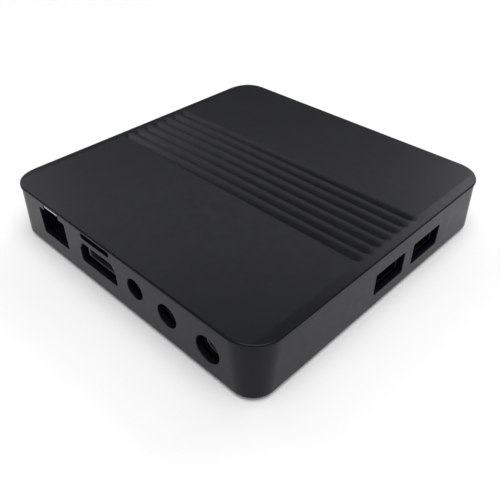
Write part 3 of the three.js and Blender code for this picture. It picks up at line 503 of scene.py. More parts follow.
@dataclass(frozen=True)
class MouldedPlastic(Finish):
    """Injection-moulded plastic with a fine spark-eroded grain."""

    colour: Colour
    tint: Colour
    roughness: float
    grain: float = 0.16 * MM
    depth: float = 0.004 * MM
    specular: float = 0.5
    gloss_tint: Colour = (1, 1, 1)

    def build(self, shader: Shader) -> None:
        """Mottles the colour a little, and gives it the mould's grain."""
        shader.colour(shader.spread(shader.noise(9 * MM, 3), 0, 1), self.colour, self.tint)
        shader.vary_roughness(shader.noise(2.5 * MM, 4), self.roughness, 0.03)
        shader.set(Specular_IOR_Level=self.specular, Specular_Tint=self.gloss_tint, IOR=1.5)
        coarse = shader.relief(shader.noise(self.grain, 3), self.depth)
        shader.relief(shader.cells(self.grain * 0.6), self.depth * 0.4, under=coarse)


@dataclass(frozen=True)
class Rubber(Finish):
    """Soft rubber with a dusty bloom."""

    def build(self, shader: Shader) -> None:
        """Gives it a cloudy colour and a fine, soft relief."""
        cloud = shader.spread(shader.noise(2 * MM, 5), 0, 1)
        shader.colour(cloud, (0.011, 0.011, 0.011), (0.026, 0.025, 0.024))
        shader.roughness(shader.spread(shader.noise(0.8 * MM, 4), 0.72, 0.92))
        shader.set(Specular_IOR_Level=0.35, Sheen_Weight=0.08, Sheen_Roughness=0.6)
        shader.relief(shader.noise(0.2 * MM, 5), 0.012 * MM)


@dataclass(frozen=True)
class SheetMetal(Finish):
    """Rolled and plated sheet, with the faint lines of the rolls."""

    bright: Colour
    dull: Colour
    roughness: float
    lines: tuple[float, float, float] = (1, 9, 1)

    def build(self, shader: Shader) -> None:
        """Draws the rolling lines and clouds the plating."""
        lines = shader.noise(0.12 * MM, 3, self.lines)
        shader.colour(shader.spread(shader.noise(1.7 * MM, 5), 0, 1), self.dull, self.bright)
        shader.roughness(shader.spread(lines, self.roughness - 0.04, self.roughness + 0.05))
        shader.set(Metallic=1.0)
        shader.relief(lines, 0.0006 * MM)


@dataclass(frozen=True)
class Resin(Finish):
    """Moulding compound of a chip, with its pale filler grains."""

    def build(self, shader: Shader) -> None:
        """Specks the dark resin with grains of filler."""
        specks = shader.spread(shader.cells(0.11 * MM), 1, 0, (0.1, 0.35))
        shader.colour(specks, (0.012, 0.012, 0.013), (0.034, 0.034, 0.036))
        shader.roughness(shader.spread(shader.noise(0.6 * MM, 4), 0.5, 0.68))
        shader.relief(shader.noise(0.07 * MM, 4), 0.006 * MM)


@dataclass(frozen=True)
class Mineral(Finish):
    """Pressed and sintered powder, such as ferrite or a silicone filled with it."""

    dark: Colour
    pale: Colour
    roughness: float
    grain: float = 0.13 * MM

    def build(self, shader: Shader) -> None:
        """Gives it a powdery, pitted face."""
        shader.colour(shader.spread(shader.noise(self.grain * 3, 6), 0, 1), self.dark, self.pale)
        shader.vary_roughness(shader.noise(self.grain, 3), self.roughness, 0.08)
        pits = shader.relief(shader.cells(self.grain), 0.01 * MM)
        shader.relief(shader.noise(self.grain * 2, 4), 0.012 * MM, under=pits)


@dataclass(frozen=True)
class Laminate(Finish):
    """Glass-fibre board under green solder resist, with the weave and the copper showing through."""

    def build(self, shader: Shader) -> None:
        """Draws the copper as stepped fields and the weave as a fine relief."""
        copper = self.copper(shader)
        shader.colour(copper, (0.006, 0.055, 0.024), (0.014, 0.105, 0.045))
        shader.roughness(shader.spread(shader.noise(1.2 * MM, 3), 0.28, 0.42))
        shader.set(Coat_Weight=0.25, Coat_Roughness=0.2)
        raised = shader.relief(copper, 0.02 * MM)
        weave = shader.node("ShaderNodeTexWave", wave_type="BANDS", bands_direction="DIAGONAL")
        weave.inputs["Scale"].default_value = 1 / (2.2 * MM)
        shader.join(shader.place, weave.inputs["Vector"])
        shader.relief(weave.outputs["Fac"], 0.003 * MM, under=raised)

    def copper(self, shader: Shader) -> bpy.types.NodeSocket:
        """Returns 1 on copper and 0 beside it: a plain pour, with fields of parallel tracks."""
        tracks = shader.node("ShaderNodeTexWave", wave_type="BANDS", bands_direction="Y")
        tracks.inputs["Scale"].default_value = 1 / (2.6 * MM)
        shader.join(shader.place, tracks.inputs["Vector"])
        lines = shader.spread(tracks.outputs["Fac"], 0, 1, (0.55, 0.6))
        fields = shader.spread(shader.cells(14 * MM), 0, 1, (0.49, 0.5))
        gaps = shader.node("ShaderNodeMath", operation="MULTIPLY")
        shader.join(lines, gaps.inputs[0])
        shader.join(fields, gaps.inputs[1])
        return shader.spread(gaps.outputs[0], 1, 0, (0, 1))


@dataclass(frozen=True)
class Acrylic(Finish):
    """Polished plastic with light passing into it."""

    colour: Colour
    passing: float
    roughness: float = 0.06
    specular: float = 0.5

    def build(self, shader: Shader) -> None:
        """Polishes it, with faint waves of the moulding."""
        shader.colour(shader.noise(3 * MM, 2), self.colour, tuple(c * 1.3 for c in self.colour))
        shader.roughness(shader.spread(shader.noise(1.5 * MM, 3), self.roughness, self.roughness + 0.05))
        shader.set(Transmission_Weight=self.passing, IOR=1.49, Specular_IOR_Level=self.specular)
        shader.set(Coat_Weight=0.3 * self.specular, Coat_Roughness=0.05)
        shader.relief(shader.noise(2.5 * MM, 1), 0.004 * MM)


@dataclass(frozen=True)
class Film(Finish):
    """Copper printed on an amber film."""

    def build(self, shader: Shader) -> None:
        """Leaves a thin gap in the copper, and creases the film faintly."""
        bands = shader.node("ShaderNodeTexWave", wave_type="BANDS", bands_direction="Y")
        bands.inputs["Scale"].default_value = 1 / (16 * MM)
        shader.join(shader.place, bands.inputs["Vector"])
        printed = shader.spread(bands.outputs["Fac"], 0, 1, (0.46, 0.5))
        shader.colour(printed, (0.16, 0.055, 0.012), (0.42, 0.2, 0.09))
        shader.roughness(shader.spread(shader.noise(1 * MM, 4), 0.25, 0.4))
        shader.set(Metallic=0.45, Coat_Weight=0.6, Coat_Roughness=0.12)
        shader.relief(shader.noise(4 * MM, 2), 0.05 * MM)


COVER_PLASTIC = MouldedPlastic("satin_cover_plastic", "cover_plastic",
                               (0.005, 0.0056, 0.0084), (0.0062, 0.0068, 0.0098), 0.32, specular=0.155)
CASE_PLASTIC = MouldedPlastic("satin_case_plastic", "case_plastic",
                              (0.0052, 0.0046, 0.0082), (0.0062, 0.0056, 0.0096), 0.32,
                              specular=0.17, gloss_tint=(0.9, 0.88, 1.0))
INSULATOR = MouldedPlastic("black_insulator", "insulator",
                           (0.004, 0.004, 0.0045), (0.006, 0.006, 0.0065), 0.55, 0.1 * MM, specular=0.12)
SLIDER_PLASTIC = MouldedPlastic("natural_nylon", "slider_plastic",
                                (0.62, 0.59, 0.52), (0.7, 0.67, 0.6), 0.42, 0.1 * MM)
JACKET = MouldedPlastic("lead_jacket", "lead_jacket",
                        (0.008, 0.008, 0.008), (0.013, 0.013, 0.013), 0.4, 0.08 * MM)
RUBBER = Rubber("foot_rubber", "foot_rubber")
# Darkened copy of the tin plate: painted shade inside the power socket's bore.
SHADED_SLEEVE_PLATE = SheetMetal("shaded_sleeve_plate", "tin_plate",
                           (0.09, 0.09, 0.095), (0.07, 0.07, 0.075), 0.5, (1, 1, 1))
SCREW_STEEL = SheetMetal("blackened_screw_steel", "screw_steel",
                         (0.07, 0.07, 0.075), (0.035, 0.035, 0.04), 0.36, (1, 1, 1))
TIN = SheetMetal("tin_plate", "tin_plate", (0.55, 0.56, 0.58), (0.42, 0.43, 0.45), 0.3)
SATIN_NICKEL = SheetMetal("satin_nickel", "dark_nickel", (0.25, 0.25, 0.26), (0.19, 0.19, 0.2), 0.5)
DARK_NICKEL = SheetMetal("black_nickel", "dark_nickel", (0.05, 0.05, 0.055), (0.03, 0.03, 0.034), 0.42)
SPRING_STEEL = SheetMetal("spring_steel", "spring_steel", (0.5, 0.5, 0.52), (0.36, 0.36, 0.38), 0.25)
GOLD = SheetMetal("gold_plate", "contact_gold", (0.83, 0.56, 0.2), (0.66, 0.42, 0.14), 0.22)
SINK = SheetMetal("extruded_aluminium", "sink_aluminium",
                  (0.62, 0.63, 0.65), (0.5, 0.51, 0.53), 0.36, (1, 22, 1))
CAN = SheetMetal("can_aluminium", "can_aluminium", (0.7, 0.71, 0.73), (0.58, 0.59, 0.61), 0.24, (1, 1, 9))
RESIN = Resin("chip_resin", "chip_resin")
FERRITE = Mineral("pressed_ferrite", "ferrite", (0.022, 0.022, 0.024), (0.06, 0.06, 0.064), 0.68)
CERAMIC = Mineral("barium_ceramic", "chip_resin", (0.2, 0.13, 0.08), (0.33, 0.23, 0.15), 0.5, 0.08 * MM)
PAD = Mineral("silicone_pad", "thermal_pad", (0.13, 0.19, 0.27), (0.2, 0.27, 0.36), 0.75, 0.2 * MM)
LAMINATE = Laminate("board_laminate", "board_laminate")
WINDOW_ACRYLIC = Acrylic("infrared_acrylic", "infrared_window", (0.009, 0.003, 0.004), 0.06, specular=0.15)
LENS = Acrylic("clear_epoxy", "light_lens", (0.52, 0.66, 0.85), 0.75)
FOIL = Film("antenna_foil", "antenna_foil")


# ---------------------------------------------------------------------------------------------
# Pieces
# ---------------------------------------------------------------------------------------------


def add_piece(name: str, shape: Union[Draft, bpy.types.Mesh], finish: Finish, *replaced: str,
              body: str = PLAYER, bevel: float = 0.0, crease: float = CREASE) -> bpy.types.Object:
    """Makes a piece of the player, in place, and dresses it.

    Args:
        name: The piece's name.
        shape: Its draft or its mesh, in the row frame.
        finish: Its finish.
        replaced: The frame's nodes that it stands for.
        body: The frame's body that it rides on.
        bevel: Width of the rounding put on its sharp edges, if any.
        crease: Angle in degrees above which an edge stays sharp.

    Returns:
        The piece.
    """
    mesh = shape.mesh(name) if isinstance(shape, Draft) else shape
    mesh.name = name
    piece = bpy.data.objects.new(name, mesh)
    bpy.context.scene.collection.objects.link(piece)
    mesh.materials.clear()
    mesh.materials.append(finish.material())
    mesh.shade_smooth()
    mesh.set_sharp_from_angle(angle=math.radians(crease))
    soften(piece, bevel, crease)
    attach(piece, body)
    if replaced:
        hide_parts(*replaced)
    LOG.info("%s: %d faces, %s", name, len(mesh.polygons), finish.name)
    return piece


def soften(piece: bpy.types.Object, bevel: float, crease: float) -> None:
    """Rounds a piece's edges sharper than an angle, if a bevel is given, and evens out its shading."""
    if bevel > 0:
        rounding = piece.modifiers.new("edges", "BEVEL")
        rounding.width = bevel
        rounding.segments = 2
        rounding.limit_method = "ANGLE"
        rounding.angle_limit = math.radians(crease)
    weighted = piece.modifiers.new("normals", "WEIGHTED_NORMAL")
    weighted.keep_sharp = True


def dress(node: str, finish: Finish, bevel: float = LEAST_BEVEL, crease: float = CREASE) -> None:
    """Gives a node of the frame its finish and soft edges, and leaves its shape as it is."""
    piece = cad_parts[node]
    for place in piece.material_slots:
        place.material = finish.material()
    soften(piece, max(bevel, LEAST_BEVEL), crease)
    LOG.info("%s: the frame's own, %s", node, finish.name)


def middle_of(node: str) -> Vector:
    """Returns the middle of a node's box."""
    low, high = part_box(node)
    return (low + high) / 2


AROUND = ("port_left", "port_right", "room_right", "room_left")
CASE_SCREWS = ["case_screw_" + corner for corner in AROUND]
BOARD_SCREWS = ["board_screw_" + corner for corner in ("port_left", "port_right", "room_left", "room_right")]
FEET = ["foot_" + corner for corner in AROUND]
BOARD_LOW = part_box("main_board")[0].z
BOARD_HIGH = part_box("main_board")[1].z
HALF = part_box("top_cover")[1].x
COVER_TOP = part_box("top_cover")[1].z
FLOOR_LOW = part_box("lower_case")[0].z
WALL_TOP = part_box("lower_case")[1].z
FRONT_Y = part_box("hdmi_shell")[0].y


# ---------------------------------------------------------------------------------------------
# Studio
# ---------------------------------------------------------------------------------------------


@dataclass(frozen=True)
class SoftBox:
    """A rectangular lamp that shines towards the player."""

    name: str
    place: tuple[float, float, float]
    size: Point2
    power: float

    def build(self) -> None:
        """Adds the lamp, aimed at the player."""
        lamp = bpy.data.lights.new(self.name, "AREA")
        lamp.shape = "RECTANGLE"
        lamp.size, lamp.size_y = self.size
        lamp.energy = self.power
        made = bpy.data.objects.new(self.name, lamp)
        made.location = self.place
        made.rotation_euler = Vector(self.place).to_track_quat("Z", "Y").to_euler()
        bpy.context.scene.collection.objects.link(made)


@dataclass(frozen=True)
class Studio:
    """A pale floor, soft lamps and the camera."""

    azimuth: float = 44.042
    elevation: float = 38.463
    distance: float = 0.18452
    aim_right: float = 0.00027
    aim_up: float = -0.00858
    lens: float = 42.429
    sensor: float = 36.0
    floor_radius: float = 3.0
    ambient: float = 0.08
    boxes: tuple[SoftBox, ...] = (
        SoftBox("overhead", (0.35, -0.25, 1.3), (1.4, 1.4), 22.2),
        SoftBox("back", (-0.82, 0.82, 0.98), (2.4, 0.5), 4.9),
        SoftBox("left_back", (-1.25, 0.0, 0.75), (0.8, 0.6), 2.4),
        SoftBox("right_back", (0.0, 1.25, 0.75), (0.8, 0.6), 3.6),
    )

    def build(self) -> None:
        """Sets up the camera first, then the floor and the lamps."""
        self.build_camera()
        self.build_floor()
        self.build_world()
        for each in self.boxes:
            each.build()
        bpy.context.scene.view_settings.view_transform = "Standard"

    def build_camera(self) -> None:
        """Places the camera on a sphere about the point that it aims at."""
        azimuth, elevation = math.radians(self.azimuth), math.radians(self.elevation)
        back = Vector((math.sin(azimuth) * math.cos(elevation), -math.cos(azimuth) * math.cos(elevation),
                       math.sin(elevation)))
        right = Vector((math.cos(azimuth), math.sin(azimuth), 0))
        aim = Vector((0, 0, FLOOR_LOW)) + right * self.aim_right + back.cross(right) * self.aim_up
        data = bpy.data.cameras.new("camera")
        data.lens, data.sensor_width = self.lens, self.sensor
        data.clip_start = 0.01
        camera = bpy.data.objects.new("camera", data)
        camera.location = aim + back * self.distance
        camera.rotation_euler = back.to_track_quat("Z", "Y").to_euler()
        bpy.context.scene.collection.objects.link(camera)
        bpy.context.scene.camera = camera

    def build_floor(self) -> None:
        """Lays a round sheet of pale, matt paper under the player."""
        mesh = bpy.data.meshes.new("floor")
        points = [(x, y, 0.0) for x, y in circle((0, 0), self.floor_radius, 96)]
        mesh.from_pydata(points, [], [list(range(len(points)))])
        floor = bpy.data.objects.new("floor", mesh)
        shader = Shader("pale_paper")
        shader.colour(shader.spread(shader.noise(60 * MM, 3), 0, 1), (0.9, 0.9, 0.9), (0.92, 0.92, 0.92))
        shader.roughness(shader.spread(shader.noise(5 * MM, 4), 0.82, 0.92))
        shader.set(Specular_IOR_Level=0.1)
        mesh.materials.append(shader.material)
        bpy.context.scene.collection.objects.link(floor)

    def build_world(self) -> None:
        """Lights the room evenly and dimly."""
        world = bpy.data.worlds.new("room")
        world.use_nodes = True
        background = world.node_tree.nodes["Background"]
        background.inputs["Color"].default_value = (1.0, 1.0, 1.0, 1.0)
        background.inputs["Strength"].default_value = self.ambient
        bpy.context.scene.world = world


# ---------------------------------------------------------------------------------------------
# Top cover
# ---------------------------------------------------------------------------------------------


@dataclass(frozen=True)
class TopCover:
    """The cover: a plate with a rounded rim, seven notches across it and a plug that fits the walls."""

    corner: float = 8.7 * MM
    corner_steps: int = 20
    rim_height: float = 1.0 * MM
    rim_across: float = 0.5 * MM
    rim_down: float = 0.62 * MM
    rim_steps: int = 7
    chamfer: float = 0.15 * MM
    plug_inset: float = 2.05 * MM
    thickness: float = 1.6 * MM
    notch_count: int = 7
    pitch: float = 3.95 * MM
    first_valley: float = 13.6 * MM
    depth: float = 0.65 * MM
    fall: float = 2.7 * MM
    valley: float = 0.12 * MM
    rise: float = 0.62 * MM
    end_inset: float = 2.6 * MM
    run_out: float = 2.4 * MM
    hook: float = 0.9 * MM
    slope_width: float = 3.2 * MM
    slope_drop: float = 0.35 * MM
    slope_power: float = 1.25
    boss_radius: float = 3.0 * MM
    boss_rise: float = 3.45 * MM
    board_boss_radius: float = 2.5 * MM
    bore: float = 1.25 * MM
    board_bore: float = 1.05 * MM

    def build(self) -> None:
        """Builds the cover as one moulding."""
        mesh = combine(self.plate(), self.bosses(), self.cuts())
        add_piece("ribbed_top_cover", mesh, COVER_PLASTIC, "top_cover", crease=33)

    @property
    def rim_bottom(self) -> float:
        """Height of the rim's lower edge."""
        return COVER_TOP - self.rim_height

    def slope(self, x: float) -> float:
        """Returns how far the bands along the X edges lie below the top."""
        share = max(0.0, (abs(x) - (HALF - self.slope_width)) / self.slope_width)
        return self.slope_drop * share ** self.slope_power

    def end_share(self, x: float) -> float:
        """Returns 1 along a notch, falling to 0 where it runs out."""
        return max(0.0, min(1.0, (HALF - self.end_inset - abs(x)) / self.run_out))

    def rows(self) -> list[Callable[[float], Point2]]:
        """Gives the mesh's rows across Y, lowest first, as functions of x.

        Returns:
            Functions that return the row's y and how far the notches lower it there.
        """
        flat = HALF - self.corner
        angles = [math.pi / 2 * i / self.corner_steps for i in range(self.corner_steps + 1)]
        arc = [flat + (self.corner - self.rim_across) * math.sin(a) for a in angles]
        last = self.first_valley - (self.notch_count - 1) * self.pitch
        rows = [self.plain_row(-y) for y in arc[::-1]]
        rows += [self.plain_row(y) for y in (-34 * MM, -24 * MM, -16 * MM)]
        rows.append(self.plain_row(last - self.valley - 2 * self.rise))
        for i in range(self.notch_count):
            rows += self.notch_rows(last + i * self.pitch)
        rows += [self.plain_row(y) for y in (self.first_valley + self.fall + 1 * MM, 24 * MM, 34 * MM)]
        rows += [self.plain_row(y) for y in arc]
        return rows

    def plain_row(self, y: float) -> Callable[[float], Point2]:
        """Gives a row that no notch touches."""
        return lambda x: (y, 0.0)

    def notch_rows(self, valley: float) -> list[Callable[[float], Point2]]:
        """Gives the rows of one notch, from the crest at its -Y side to the one at its +Y side."""

        def row(along: float, level: float, carried: float) -> Callable[[float], Point2]:
            """Gives one row: its place in the notch, its depth share, and how much of the hook it takes."""

            def at(x: float) -> Point2:
                """Returns the row's y and depth at x."""
                share = self.end_share(x)
                shift = self.hook * (1 - share) ** 2
                return valley + along + shift * carried, self.depth * level * (1 - (1 - share) ** 2)

            return at

        steep = [1.0, 0.93, 0.82, 0.66, 0.48, 0.3, 0.14, 0.0]
        rows = [row(-self.valley - self.rise * v, (2 - math.sqrt(1 + 3 * v)) ** 2, 1.0) for v in steep]
        easy = [0.0, 0.05, 0.12, 0.2, 0.3, 0.42, 0.55, 0.7, 0.85, 1.0]
        return rows + [row(self.fall * t, (1 - t) ** 2, 1 - t) for t in easy]

    def columns(self) -> list[float]:
        """Gives the mesh's columns across X as shares of the half width: close together at the ends."""
        inner = HALF - self.end_inset - self.run_out
        ends = [inner + self.run_out * i / 12 for i in range(13)]
        reach, band = HALF - self.rim_across, self.end_inset - self.rim_across
        outer = [reach - band * (1 - i / 5) for i in range(1, 6)]
        half = [8 * MM, 20 * MM, 32 * MM, 41 * MM] + ends + outer
        return [-x / reach for x in half[::-1]] + [x / reach for x in half]

    def plate(self) -> Draft:
        """Draws the plate, its rim and its plug as one closed mesh."""
        flat = HALF - self.corner
        radius = self.corner - self.rim_across
        columns, rows = self.columns(), self.rows()
        draft = Draft()
        grid: list[list[int]] = []
        for row in rows:
            middle_y = row(0.0)[0]
            beyond = min(max(0.0, abs(middle_y) - flat) / radius, 1.0)
            reach = flat + radius * math.sqrt(1 - beyond ** 2)
            line = []
            for share in columns:
                x = share * reach
                y, depth = row(x)
                line.append(len(draft.points))
                draft.points.append(Vector((x, y, COVER_TOP - depth - self.slope(x))))
            grid.append(line)
        for low, high in zip(grid, grid[1:]):
            for i in range(len(columns) - 1):
                draft.faces.append([low[i], low[i + 1], high[i + 1], high[i]])
        between = grid[1:-1]
        loop = grid[0] + [line[-1] for line in between] + grid[-1][::-1] + [line[0] for line in between[::-1]]
        self.close(draft, loop)
        return draft

    def close(self, draft: Draft, loop: list[int]) -> None:
        """Carries the plate's border round the rim, and in under it to the plug.

        Args:
            draft: The plate's draft, which is added to.
            loop: The border's points, in order.
        """
        flat = HALF - self.corner
        border = [draft.points[i] for i in loop]
        normals = []
        for point in border:
            over = Vector((max(0.0, abs(point.x) - flat), max(0.0, abs(point.y) - flat)))
            over = over.normalized()
            normals.append(Vector((math.copysign(over.x, point.x), math.copysign(over.y, point.y), 0)))
        angles = [math.pi / 2 * i / self.rim_steps for i in range(1, self.rim_steps + 1)]
        levels = [(self.rim_across * math.sin(a), self.rim_down * (1 - math.cos(a))) for a in angles]
        below = self.rim_height
        levels += [(self.rim_across, below - self.chamfer), (self.rim_across - self.chamfer, below)]
        plug = self.rim_across - self.plug_inset
        levels += [(plug, below), (plug, self.thickness - 0.15 * MM), (plug - 0.15 * MM, self.thickness)]
        previous = loop
        for out, down in levels:
            ring = []
            for point, normal in zip(border, normals):
                lowered = max(0.0, 1 - down / self.rim_height) * (COVER_TOP - point.z)
                place = point + normal * out
                ring.append(len(draft.points))
                draft.points.append(Vector((place.x, place.y, COVER_TOP - lowered - down)))
            for i in range(len(ring)):
                j = (i + 1) % len(ring)
                draft.faces.append([previous[i], previous[j], ring[j], ring[i]])
            previous = ring
        draft.faces.append(previous)

    def bosses(self) -> list[Draft]:
        """Draws the bosses for the case screws and the board screws, with wide feet."""
        root = COVER_TOP - self.thickness
        made = []
        for node in CASE_SCREWS:
            place = middle_of(node)
            made.append(self.boss(place, self.boss_radius, FLOOR_LOW + self.boss_rise, root))
        for node in BOARD_SCREWS:
            made.append(self.boss(middle_of(node), self.board_boss_radius, BOARD_HIGH + 0.05 * MM, root))
        return made

    def boss(self, place: Vector, radius: float, low: float, root: float) -> Draft:
        """Draws one boss from its lower end up into the plate."""
        profile = [(0, low), (radius - 0.2 * MM, low), (radius, low + 0.2 * MM), (radius, root - 0.6 * MM)]
        foot, into = radius + 0.6 * MM, root + 0.3 * MM
        profile += [(radius + 0.18 * MM, root - 0.18 * MM), (foot, root), (foot, into), (0, into)]
        return turned(profile).moved((place.x, place.y, 0))

    def cuts(self) -> list[Draft]:
        """Draws the screws' bores, and the pockets above the network and card sockets."""
        made = []
        for nodes, bore, low, over in ((CASE_SCREWS, self.bore, FLOOR_LOW, 1 * MM),
                                       (BOARD_SCREWS, self.board_bore, BOARD_LOW, 0.15 * MM)):
            for node in nodes:
                place, high = middle_of(node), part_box(node)[1].z + over
                profile = [(0, low), (bore, low), (bore, high), (0, high)]
                made.append(turned(profile, 32).moved((place.x, place.y, 0)))
        shield_low, shield_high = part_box("network_shield")
        inner = HALF - self.plug_inset
        made.append(block((shield_low.x - 0.5 * MM, -inner - 0.7 * MM, BOARD_HIGH),
                          (shield_high.x + 0.5 * MM, shield_high.y + 0.7 * MM, shield_high.z + 0.25 * MM)))
        card = middle_of("card_cover")
        made.append(block((card.x - 6.75 * MM, -inner - 0.7 * MM, BOARD_HIGH),
                          (card.x + 6.75 * MM, -inner + 1.7 * MM, BOARD_HIGH + 2.35 * MM)))
        return made


# ---------------------------------------------------------------------------------------------
# Lower case
# ---------------------------------------------------------------------------------------------


class Wall(Enum):
    """The faces of the case that have openings."""

    PORT = "port"
    USB = "usb"
    ROOM = "room"
    UNDER = "under"


@dataclass(frozen=True)
class LowerCase:
    """The moulding of floor and walls, with the openings for the sockets, window, vents and screws."""

    wall: float = 1.6 * MM
    foot_inset: float = 0.45 * MM
    top_inset: float = 0.3 * MM
    foot_radius: float = 6.2 * MM
    top_radius: float = 8.4 * MM
    rounding: float = 0.6 * MM
    corner_steps: int = 24
    edge: float = 0.22 * MM
    hdmi_opening: Point2 = (15.7 * MM, 6.6 * MM)
    hdmi_slant: Point2 = (1.5 * MM, 2.4 * MM)
    usb_opening: Point2 = (13.1 * MM, 6.75 * MM)
    card_opening: Point2 = (12.5 * MM, 1.8 * MM)
    card_rise: float = 1.45 * MM
    network_opening: tuple[float, float, float] = (12.5 * MM, 7.0 * MM, 1.7 * MM)
    latch: Point2 = (7.0 * MM, 1.75 * MM)
    window_opening: Point2 = (17.0 * MM, 5.0 * MM)
    window_corner: float = 1.2 * MM
    vent_count: int = 9
    vent_pitch: float = 4.4 * MM
    vent_size: Point2 = (2.0 * MM, 32.0 * MM)
    vent_middle: Point2 = (2.0 * MM, 4.0 * MM)
    recess: float = 0.5 * MM
    pin_hole: float = 1.1 * MM
    counterbore: float = 2.7 * MM
    screw_hole: float = 1.4 * MM
    post: float = 3.5 * MM
    post_height: float = 1.8 * MM
    seat: float = 1.5 * MM

    def build(self) -> None:
        """Builds the case as one moulding."""
        mesh = combine(self.shell(), self.posts(), self.openings())
        add_piece("socket_case", mesh, CASE_PLASTIC, "lower_case", crease=33)

    def inset(self, z: float) -> float:
        """Returns how far the wall's outside lies in from the cover's outline at a height."""
        share = (z - FLOOR_LOW) / (WALL_TOP - FLOOR_LOW)
        return self.foot_inset + (self.top_inset - self.foot_inset) * share

    def ring(self, z: float, offset: float) -> list[Vector]:
        """Gives the wall's outline at a height, moved inwards by offset."""
        share = (z - FLOOR_LOW) / (WALL_TOP - FLOOR_LOW)
        radius = self.foot_radius + (self.top_radius - self.foot_radius) * share - offset
        half = HALF - self.inset(z) - offset
        outline = rectangle((0, 0), (2 * half, 2 * half), radius, self.corner_steps)
        return [Vector((x, y, z)) for x, y in outline]

    def shell(self) -> Draft:
        """Draws floor and walls as an open cup."""
        outside = [self.ring(FLOOR_LOW + self.rounding * (1 - math.cos(a)), self.rounding * (1 - math.sin(a)))
                   for a in (math.pi / 2 * i / 8 for i in range(9))]
        lip = 0.12 * MM
        inside = [self.ring(WALL_TOP - lip, self.wall),
                  self.ring(FLOOR_LOW + self.wall + 0.6 * MM, self.wall)]
        inside += [self.ring(FLOOR_LOW + self.wall + 0.18 * MM, self.wall + 0.18 * MM)]
        inside += [self.ring(FLOOR_LOW + self.wall, self.wall + 0.6 * MM)]
        heights = [0.25, 0.5, 0.75]
        sides = [self.ring(FLOOR_LOW + (WALL_TOP - FLOOR_LOW) * h, 0) for h in heights]
        top = [self.ring(WALL_TOP - lip, 0), self.ring(WALL_TOP, lip), self.ring(WALL_TOP, self.wall - lip)]
        return loft(outside + sides + top + inside)

    def posts(self) -> list[Draft]:
        """Draws the four hollow posts that the case screws stand in."""
        top = FLOOR_LOW + self.wall + self.post_height
        foot = FLOOR_LOW + self.wall
        profile = [(0, foot - 0.8 * MM), (self.post + 0.5 * MM, foot - 0.8 * MM),
                   (self.post + 0.5 * MM, foot)]
        profile += [(self.post + 0.15 * MM, foot + 0.15 * MM), (self.post, foot + 0.5 * MM)]
        profile += [(self.post, top - 0.2 * MM), (self.post - 0.2 * MM, top), (0, top)]
        return [turned(profile).moved((middle_of(n).x, middle_of(n).y, 0)) for n in CASE_SCREWS]

    def place(self, wall: Wall, across: float, z: float, depth: float) -> Vector:
        """Returns a place by its position on a wall and its depth behind the wall's outer face."""
        if wall is Wall.UNDER:
            return Vector((across, z, FLOOR_LOW + depth))
        reach = HALF - self.inset(z) - depth
        if wall is Wall.PORT:
            return Vector((across, -reach, z))
        if wall is Wall.ROOM:
            return Vector((across, reach, z))
        return Vector((reach, across, z))

    def opening(self, wall: Wall, outline: Sequence[Point2], edge: float, depth: float = 2.6 * MM) -> Draft:
        """Draws the body that cuts an opening with a rounded outer edge.

        Args:
            wall: The wall that it goes through.
            outline: The opening's outline, counter-clockwise.
            edge: Radius of the outer edge.
            depth: How far the body reaches in from the outer face.

        Returns:
            The cutting body.
        """
        levels = [(-1 * MM, edge)] + quarter(edge) + [(depth, 0.0)]
        return loft([[self.place(wall, a, b, into) for a, b in grown(outline, by)] for into, by in levels])

    def socket_outlines(self) -> list[tuple[Wall, list[Point2], float]]:
        """Gives the outlines of the openings in the port and USB walls, with their edge radii."""
        network = middle_of("network_housing").x
        width, below, above = self.network_opening
        half, latch = width / 2, self.latch[0] / 2
        low, high = BOARD_LOW - below, BOARD_LOW + above
        top = high + self.latch[1]
        corners = [(network - half, low), (network + half, low), (network + half, high),
                   (network + latch, high),
                   (network + latch, top), (network - latch, top), (network - latch, high),
                   (network - half, high)]
        radii = [0.4 * MM, 0.4 * MM, 0.4 * MM, 0.2 * MM, 0.25 * MM, 0.25 * MM, 0.2 * MM, 0.4 * MM]
        hdmi = middle_of("hdmi_tongue")
        card = middle_of("card_cover")
        slot = rectangle((card.x, BOARD_HIGH + self.card_rise), self.card_opening,
                         self.card_opening[1] * 0.47)
        made = [(Wall.PORT, rounded(corners, radii, 5), 0.14 * MM),
                (Wall.PORT, trapezium((hdmi.x, hdmi.z), self.hdmi_opening, self.hdmi_slant, 0.5 * MM),
                 self.edge),
                (Wall.PORT, slot, 0.14 * MM)]
        for jack in RoundSocket.all():
            made.append((Wall.PORT, circle((jack.x, jack.z), jack.opening), self.edge))
        for number in (1, 2):
            usb = middle_of(f"usb_{number}_tongue")
            made.append((Wall.USB, rectangle((usb.y, usb.z), self.usb_opening, 0.45 * MM), self.edge))
        return made

